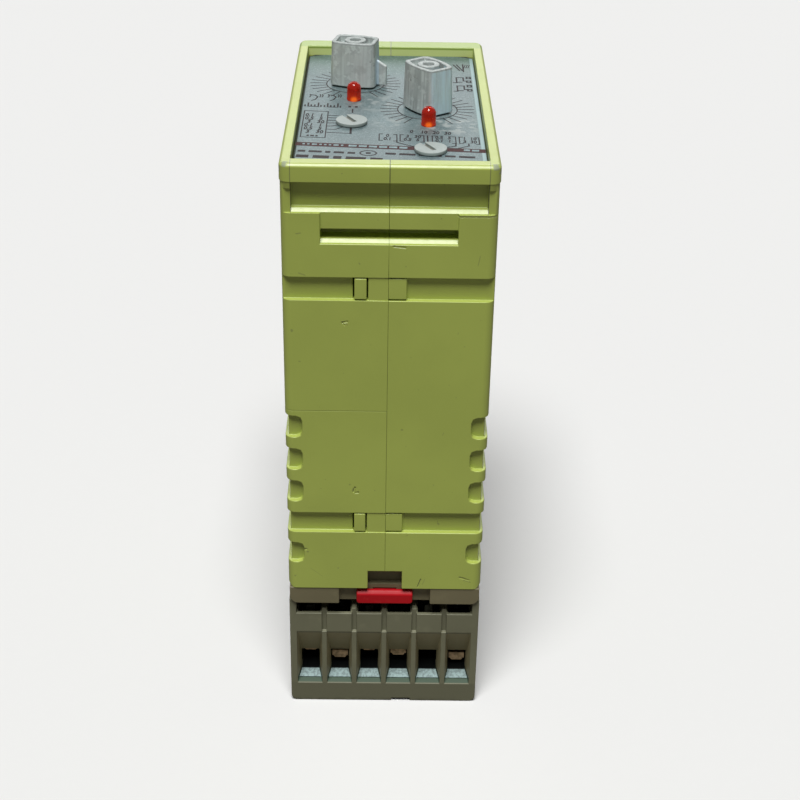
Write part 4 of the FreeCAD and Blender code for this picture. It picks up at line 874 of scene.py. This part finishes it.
class RELAY_OT_lamps(bpy.types.Operator):
    """Build the two red lamp lenses"""

    bl_idname = "relay.lamps"
    bl_label = "Lamps"

    def execute(self, context):
        lens = self.lens_finish(context)
        core = metal("lamp_core_metal", (0.6, 0.58, 0.55), (0.85, 0.84, 0.8), 2000.0, 2.0, 0.25, 0.2)
        for side, (x, y) in (("left", LEFT_LAMP), ("right", RIGHT_LAMP)):
            settle(self.lens(context, side, x, y), "relay_on_socket", lens, "lamp_red", f"{side}_lamp")
            settle(self.core(side, x, y), "relay_on_socket", core, "tin")
        return {"FINISHED"}

    def lens(self, context, side, x, y):
        """A dome on a straight wall with a slightly wider foot."""
        low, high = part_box(f"{side}_lamp")
        radius = context.scene.relay_sizes.lens
        middle = high.z - radius - 0.00001
        foot = (high.x - low.x) / 2 - 0.00001
        bpy.ops.mesh.primitive_uv_sphere_add(segments=40, ring_count=20, radius=radius,
                                             location=(x, y, middle))
        piece = begin(f"{side}_lamp_lens")
        bpy.ops.mesh.bisect(plane_co=(x, y, middle), plane_no=(0.0, 0.0, 1.0), clear_inner=True)
        wall = middle - low.z - 0.0008
        for ratio, fall in ((1.0, wall), (foot / radius, 0.0003), (1.0, 0.0003), (0.96, 0.00018)):
            bpy.ops.mesh.extrude_edges_move(TRANSFORM_OT_translate={"value": (0.0, 0.0, -fall)})
            widen((x, y, middle), ratio, ratio)
        bpy.ops.mesh.edge_face_add()
        bpy.ops.mesh.select_all(action="SELECT")
        bpy.ops.mesh.normals_make_consistent(inside=False)
        end_edit()
        bpy.ops.object.shade_smooth_by_angle(angle=math.radians(40))
        return piece

    def core(self, side, x, y):
        """Post and cup of the lamp, seen through the lens."""
        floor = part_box(f"{side}_lamp")[0].z
        post = x + 0.0003
        bpy.ops.mesh.primitive_cylinder_add(vertices=16, radius=0.0003, depth=0.0012,
                                            location=(post, y, floor + 0.0008))
        piece = begin(f"{side}_lamp_core")
        bpy.ops.mesh.select_all(action="DESELECT")
        end_edit()
        for face in piece.data.polygons:
            face.select = face.normal.z > 0.9
        bpy.ops.object.mode_set(mode="EDIT")
        middle = (post, y, floor)
        for ratio, rise in ((2.2, 0.0006), (1.0, 0.0003), (0.7, 0.0), (0.6, -0.0003)):
            bpy.ops.mesh.extrude_region_move(TRANSFORM_OT_translate={"value": (0.0, 0.0, rise)})
            widen(middle, ratio, ratio)
        end_edit()
        return piece

    def lens_finish(self, context):
        shade = context.scene.relay_colours.lens
        look = Look("lens_red", shade, roughness=0.06, transmission_weight=0.5, ior=1.5,
                    emission_strength=0.4, specular_ior_level=0.3)
        z = look.axes()[2]
        swirl = look.noise(700.0, 2.0)
        # painted glint: an orange glow at the front of each lamp's foot, standing in for light refracted from
        # the reflector cup
        glint = None
        for middle_x, middle_y in (LEFT_LAMP, RIGHT_LAMP):
            spot = look.gap((middle_x, middle_y - 0.0017, PLATE_TOP + 0.0004)).step(0.0011, 0.0003)
            glint = glint.over(spot) if glint else spot
        # painted light: the lower part of the lens drawn more orange
        look.coat(z.step(PLATE_TOP + 0.0028, PLATE_TOP + 0.0006), (0.75, 0.045, 0.002))
        look.coat(swirl.step(0.4, 0.8) * 0.4, tint(shade, 0.55))
        look.coat(glint, (0.9, 0.14, 0.008))
        look.feed("Emission Color", look.mix(glint, (0.1, 0.003, 0.0), (1.0, 0.2, 0.015)))
        look.feed("Roughness", 0.05 + 0.06 * swirl)
        return look


class RELAY_OT_selectors(bpy.types.Operator):
    """Dress the two slotted selector discs"""

    bl_idname = "relay.selectors"
    bl_label = "Selector discs"

    def execute(self, context):
        shade = context.scene.relay_colours.disc
        for side in ("left", "right"):
            look = plastic(f"{side}_disc_white", shade, 0.4, 1800.0, 0.05)
            low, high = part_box(f"{side}_selector")
            middle = ((low.x + high.x) / 2, (low.y + high.y) / 2, high.z)
            z = look.axes()[2]
            inside = look.gap(middle).step(high.x - middle[0] - 0.0002, high.x - middle[0] - 0.0004)
            # painted shade: the inside of the slot drawn dark
            slot = z.step(high.z - 0.0002, high.z - 0.00045) * inside
            look.coat(look.noise(600.0, 4.0).step(0.55, 0.75) * 0.35, tint(shade, 0.6))
            look.coat(slot * 0.85, (0.1, 0.1, 0.075))
            dress(f"{side}_selector", f"{side}_selector_dial", f"{side}_selector_disc", look,
                  "selector_white", context.scene.relay_sizes.disc_edge, 3)
        return {"FINISHED"}


class RELAY_OT_base(bpy.types.Operator):
    """Dress the plug base and its locking slide"""

    bl_idname = "relay.base"
    bl_label = "Plug base and latch"

    def execute(self, context):
        sizes = context.scene.relay_sizes
        colours = context.scene.relay_colours
        look = plastic("base_plastic", colours.base, 0.5, 1000.0, 0.06)
        look.coat(look.noise(300.0, 4.0).step(0.55, 0.8) * 0.3, tint(colours.base, 1.5))
        dress("plug_base", "plug_base_body", "relay_on_socket", look, "base_grey", sizes.base_edge)
        red = plastic("latch_plastic", colours.latch, 0.42, 1300.0, 0.08, specular_ior_level=0.2)
        red.coat(red.noise(900.0, 3.0).step(0.6, 0.8) * 0.2, (0.6, 0.06, 0.05))
        dress("locking_slide", "latch_bar", "latch", red, "latch_red", sizes.latch_edge, 3)
        return {"FINISHED"}


class RELAY_OT_socket(bpy.types.Operator):
    """Dress the rail socket, its foot and its spring"""

    bl_idname = "relay.socket"
    bl_label = "Rail socket"

    def execute(self, context):
        sizes = context.scene.relay_sizes
        shade = context.scene.relay_colours.socket
        look = plastic("socket_plastic", shade, 0.48, 1100.0, 0.06)
        x, y, z = look.axes()
        look.coat(look.noise(260.0, 5.0).step(0.52, 0.8) * 0.3, tint(shade, 1.7))
        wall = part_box("socket_body")[1].x - 0.0004
        near, far = SOCKET_FACE
        behind = abs(y).step(far, near) * abs(y).step(*FUNNEL_BACK) * abs(x).step(wall + 0.0002, wall)
        # painted light: the funnels drawn lighter and warmer, as lit by light from the floor
        funnel_light = behind * z.band(FUNNEL_FLOOR, FUNNEL_TOP, 0.0006)
        look.coat(funnel_light * 0.8, (shade[0] * 2.1, shade[1] * 1.9, shade[2] * 1.7))
        # painted shade: the sill under the strips drawn darker
        sill_shade = behind * z.step(FUNNEL_FLOOR, FUNNEL_FLOOR - 0.0006)
        look.coat(sill_shade, (shade[0] * 0.44, shade[1] * 0.65, shade[2] * 0.71))
        plinth = abs(y).step(near, far) * z.step(PLINTH_TOP + 0.0002, PLINTH_TOP - 0.0002)
        look.coat(plinth, tint(shade, 0.87))
        foot = z.step(0.0012, 0.0) * look.noise(500.0, 3.0).step(0.4, 0.6) * 0.5
        look.coat(foot, tint(shade, 0.4))
        dress("socket_body", "rail_socket", "relay_on_socket", look, "socket_grey", sizes.socket_edge)
        finish_nodes(plastic("foot_plastic", tint(shade, 0.8), 0.5), "rail_foot")
        steel = metal("spring_metal", (0.45, 0.46, 0.48), (0.62, 0.63, 0.65), 900.0, 3.0, 0.3, 0.0,
                      (1.0, 0.1, 1.0))
        finish_nodes(steel, "rail_foot_spring")
        return {"FINISHED"}


class RELAY_OT_terminals(bpy.types.Operator):
    """Finish the terminal strips, pressure plates and screws"""

    bl_idname = "relay.terminals"
    bl_label = "Terminals"

    def execute(self, context):
        colours = context.scene.relay_colours
        strip = Look("strip_metal", tint(colours.strip, 0.55), metallic=0.6, roughness=0.45)
        spots = strip.noise(1500.0, 4.0)
        strip.coat(spots.step(0.35, 0.65), tint(colours.strip, 1.25))
        # painted shade: the strips behind their front edge drawn almost black
        inner = abs(strip.axes()[1]).step(STRIP_FRONT, STRIP_FRONT - 0.00035)
        strip.coat(inner, tint(colours.strip, 0.02))
        strip.feed("Roughness", 0.4 + 0.3 * spots)
        strip.bump(spots, 0.00004, 0.5)
        finish_nodes(strip, "terminal_strips")
        tin = metal("pin_metal", tint(colours.strip, 0.7), colours.strip, 1500.0, 3.0, 0.3, 0.2)
        finish_nodes(tin, "contact_blades", "lamp_leads")
        tan = Look("clamp_metal", tint(colours.clamp, 1.15), metallic=0.5, roughness=0.4)
        stain = tan.noise(900.0, 4.0)
        tan.coat(stain.step(0.35, 0.7), tint(colours.clamp, 0.55))
        tan.feed("Roughness", 0.3 + 0.3 * stain)
        finish_nodes(tan, "pressure_plates")
        # painted shade: the screws drawn dark, as they sit in shaded wells
        steel = metal("shaded_screw_metal", (0.1, 0.1, 0.09), (0.16, 0.155, 0.14), 1200.0, 3.0, 0.25, 0.25)
        finish_nodes(steel, "terminal_screws")
        return {"FINISHED"}


class RELAY_OT_inside(bpy.types.Operator):
    """Finish the boards and the pieces inside the housing"""

    bl_idname = "relay.inside"
    bl_label = "Inner pieces"

    def execute(self, context):
        kinds = (
            ("board_green", (0.05, 0.16, 0.08), 0.35, ("front_board", "main_board")),
            ("black_plastic", (0.02, 0.02, 0.022), 0.45, ("board_link", "timer_chip", "left_control_body",
                                                          "right_control_body", "left_switch_body",
                                                          "right_switch_body")),
            ("relay_case_plastic", (0.55, 0.55, 0.5), 0.4, ("output_relay",)),
            ("coil_tape", (0.6, 0.42, 0.12), 0.5, ("transformer_coil",)),
            ("capacitor_sleeve", (0.03, 0.05, 0.12), 0.35, ("capacitor",)),
        )
        for name, shade, roughness, nodes in kinds:
            finish_nodes(plastic(name, shade, roughness, 1200.0, 0.15), *nodes)
        metals = (
            ("core_metal", (0.32, 0.32, 0.34), ("transformer_core",)),
            ("shaft_bar", (0.6, 0.6, 0.6), ("left_control_shaft", "right_control_shaft")),
        )
        for name, shade, nodes in metals:
            look = metal(name, tint(shade, 0.7), tint(shade, 1.2), 900.0, 2.0, 0.3, 0.25,
                         (1.0, 0.05, 0.05), 0.9)
            finish_nodes(look, *nodes)
        return {"FINISHED"}


class RELAY_OT_stage(bpy.types.Operator):
    """Set the floor, the light and the camera"""

    bl_idname = "relay.stage"
    bl_label = "Stage"

    def execute(self, context):
        stage = context.scene.relay_stage
        self.floor(stage)
        self.light(stage)
        self.sky(stage)
        self.camera(context)
        context.scene.view_settings.view_transform = "Standard"
        return {"FINISHED"}

    def floor(self, stage):
        bpy.ops.mesh.primitive_plane_add(size=6.0, location=(0.0, 0.0, -0.0001))
        ground = bpy.context.active_object
        ground.name = "floor"
        look = Look("floor_paper", stage.bounce, roughness=0.9, specular_ior_level=0.0)
        seen = look.mix(look.noise(300.0, 3.0), tint(stage.floor, 0.99), stage.floor)
        look.coat(look.node("ShaderNodeLightPath", "Is Camera Ray"), seen)
        ground.data.materials.append(look.material)

    def light(self, stage):
        lamp = bpy.data.lights.new("overhead", "SUN")
        lamp.energy = stage.key
        lamp.angle = math.radians(28)
        put("overhead", lamp, aimed(Vector((0.0, 0.0, 1.2)), Vector((0.05, 0.35, -0.935))))
        wide, tall = 2.6, 1.3
        panel = bpy.data.lights.new("panel", "AREA")
        panel.shape = "RECTANGLE"
        panel.size, panel.size_y = wide, tall
        panel.energy = stage.panel * math.pi * wide * tall
        place = Vector((0.0, 1.7, 1.1))
        board = put("panel", panel, aimed(place, -place))
        board.visible_diffuse = False
        board.visible_camera = False

    def sky(self, stage):
        world = bpy.data.worlds.new("studio")
        bpy.context.scene.world = world
        world.use_nodes = True
        nodes = world.node_tree.nodes
        links = world.node_tree.links
        path = nodes.new("ShaderNodeLightPath")
        shown = nodes["Background"]
        shown.inputs["Color"].default_value = (1.0, 1.0, 1.0, 1.0)
        shown.inputs["Strength"].default_value = stage.sky
        for ray, strength in (("Is Glossy Ray", stage.room), ("Is Camera Ray", BACKDROP)):
            other = nodes.new("ShaderNodeBackground")
            other.inputs["Color"].default_value = (1.0, 1.0, 1.0, 1.0)
            other.inputs["Strength"].default_value = strength
            blend = nodes.new("ShaderNodeMixShader")
            links.new(path.outputs[ray], blend.inputs["Fac"])
            links.new(shown.outputs[0], blend.inputs[1])
            links.new(other.outputs[0], blend.inputs[2])
            shown = blend
        links.new(shown.outputs[0], nodes["World Output"].inputs["Surface"])

    def camera(self, context):
        pitch, yaw, roll = CAMERA_TURN
        ahead = Vector((math.sin(yaw) * math.cos(pitch), math.cos(yaw) * math.cos(pitch), -math.sin(pitch)))
        right = Vector((math.cos(yaw), -math.sin(yaw), 0.0))
        down = ahead.cross(right)
        across = math.cos(roll) * right - math.sin(roll) * down
        up = -(math.sin(roll) * right + math.cos(roll) * down)
        turn = Matrix((across, up, -ahead)).transposed().to_4x4()
        view = bpy.data.cameras.new("photo_view")
        view.lens = CAMERA_LENS
        view.sensor_width = 36.0
        view.clip_start = 0.01
        context.scene.camera = put("photo_view", view, Matrix.Translation(Vector(CAMERA_PLACE)) @ turn)


class RELAY_PT_pieces(bpy.types.Panel):
    """Buttons and settings of the relay"""

    bl_idname = "RELAY_PT_pieces"
    bl_label = "Timer relay"
    bl_space_type = "VIEW_3D"
    bl_region_type = "UI"
    bl_category = "Relay"

    def draw(self, context):
        for operator in OPERATORS:
            self.layout.operator(operator.bl_idname)
        for name in GROUPS:
            group = getattr(context.scene, name)
            box = self.layout.box()
            for key in group.bl_rna.properties.keys():
                if key not in ("rna_type", "name"):
                    box.prop(group, key)


GROUPS = {"relay_sizes": RelaySizes, "relay_colours": RelayColours, "relay_stage": RelayStage}
OPERATORS = (
    RELAY_OT_housing, RELAY_OT_plate, RELAY_OT_knobs, RELAY_OT_lamps, RELAY_OT_selectors, RELAY_OT_base,
    RELAY_OT_socket, RELAY_OT_terminals, RELAY_OT_inside, RELAY_OT_stage,
)
CLASSES = (*GROUPS.values(), *OPERATORS, RELAY_PT_pieces)


def register():
    for made in CLASSES:
        bpy.utils.register_class(made)
    for name, group in GROUPS.items():
        setattr(bpy.types.Scene, name, PointerProperty(type=group))


def unregister():
    for name in GROUPS:
        delattr(bpy.types.Scene, name)
    for made in reversed(CLASSES):
        bpy.utils.unregister_class(made)


def main():
    register()
    for operator in OPERATORS:
        group, name = operator.bl_idname.split(".")
        getattr(getattr(bpy.ops, group), name)()


if __name__ == "__main__":
    main()
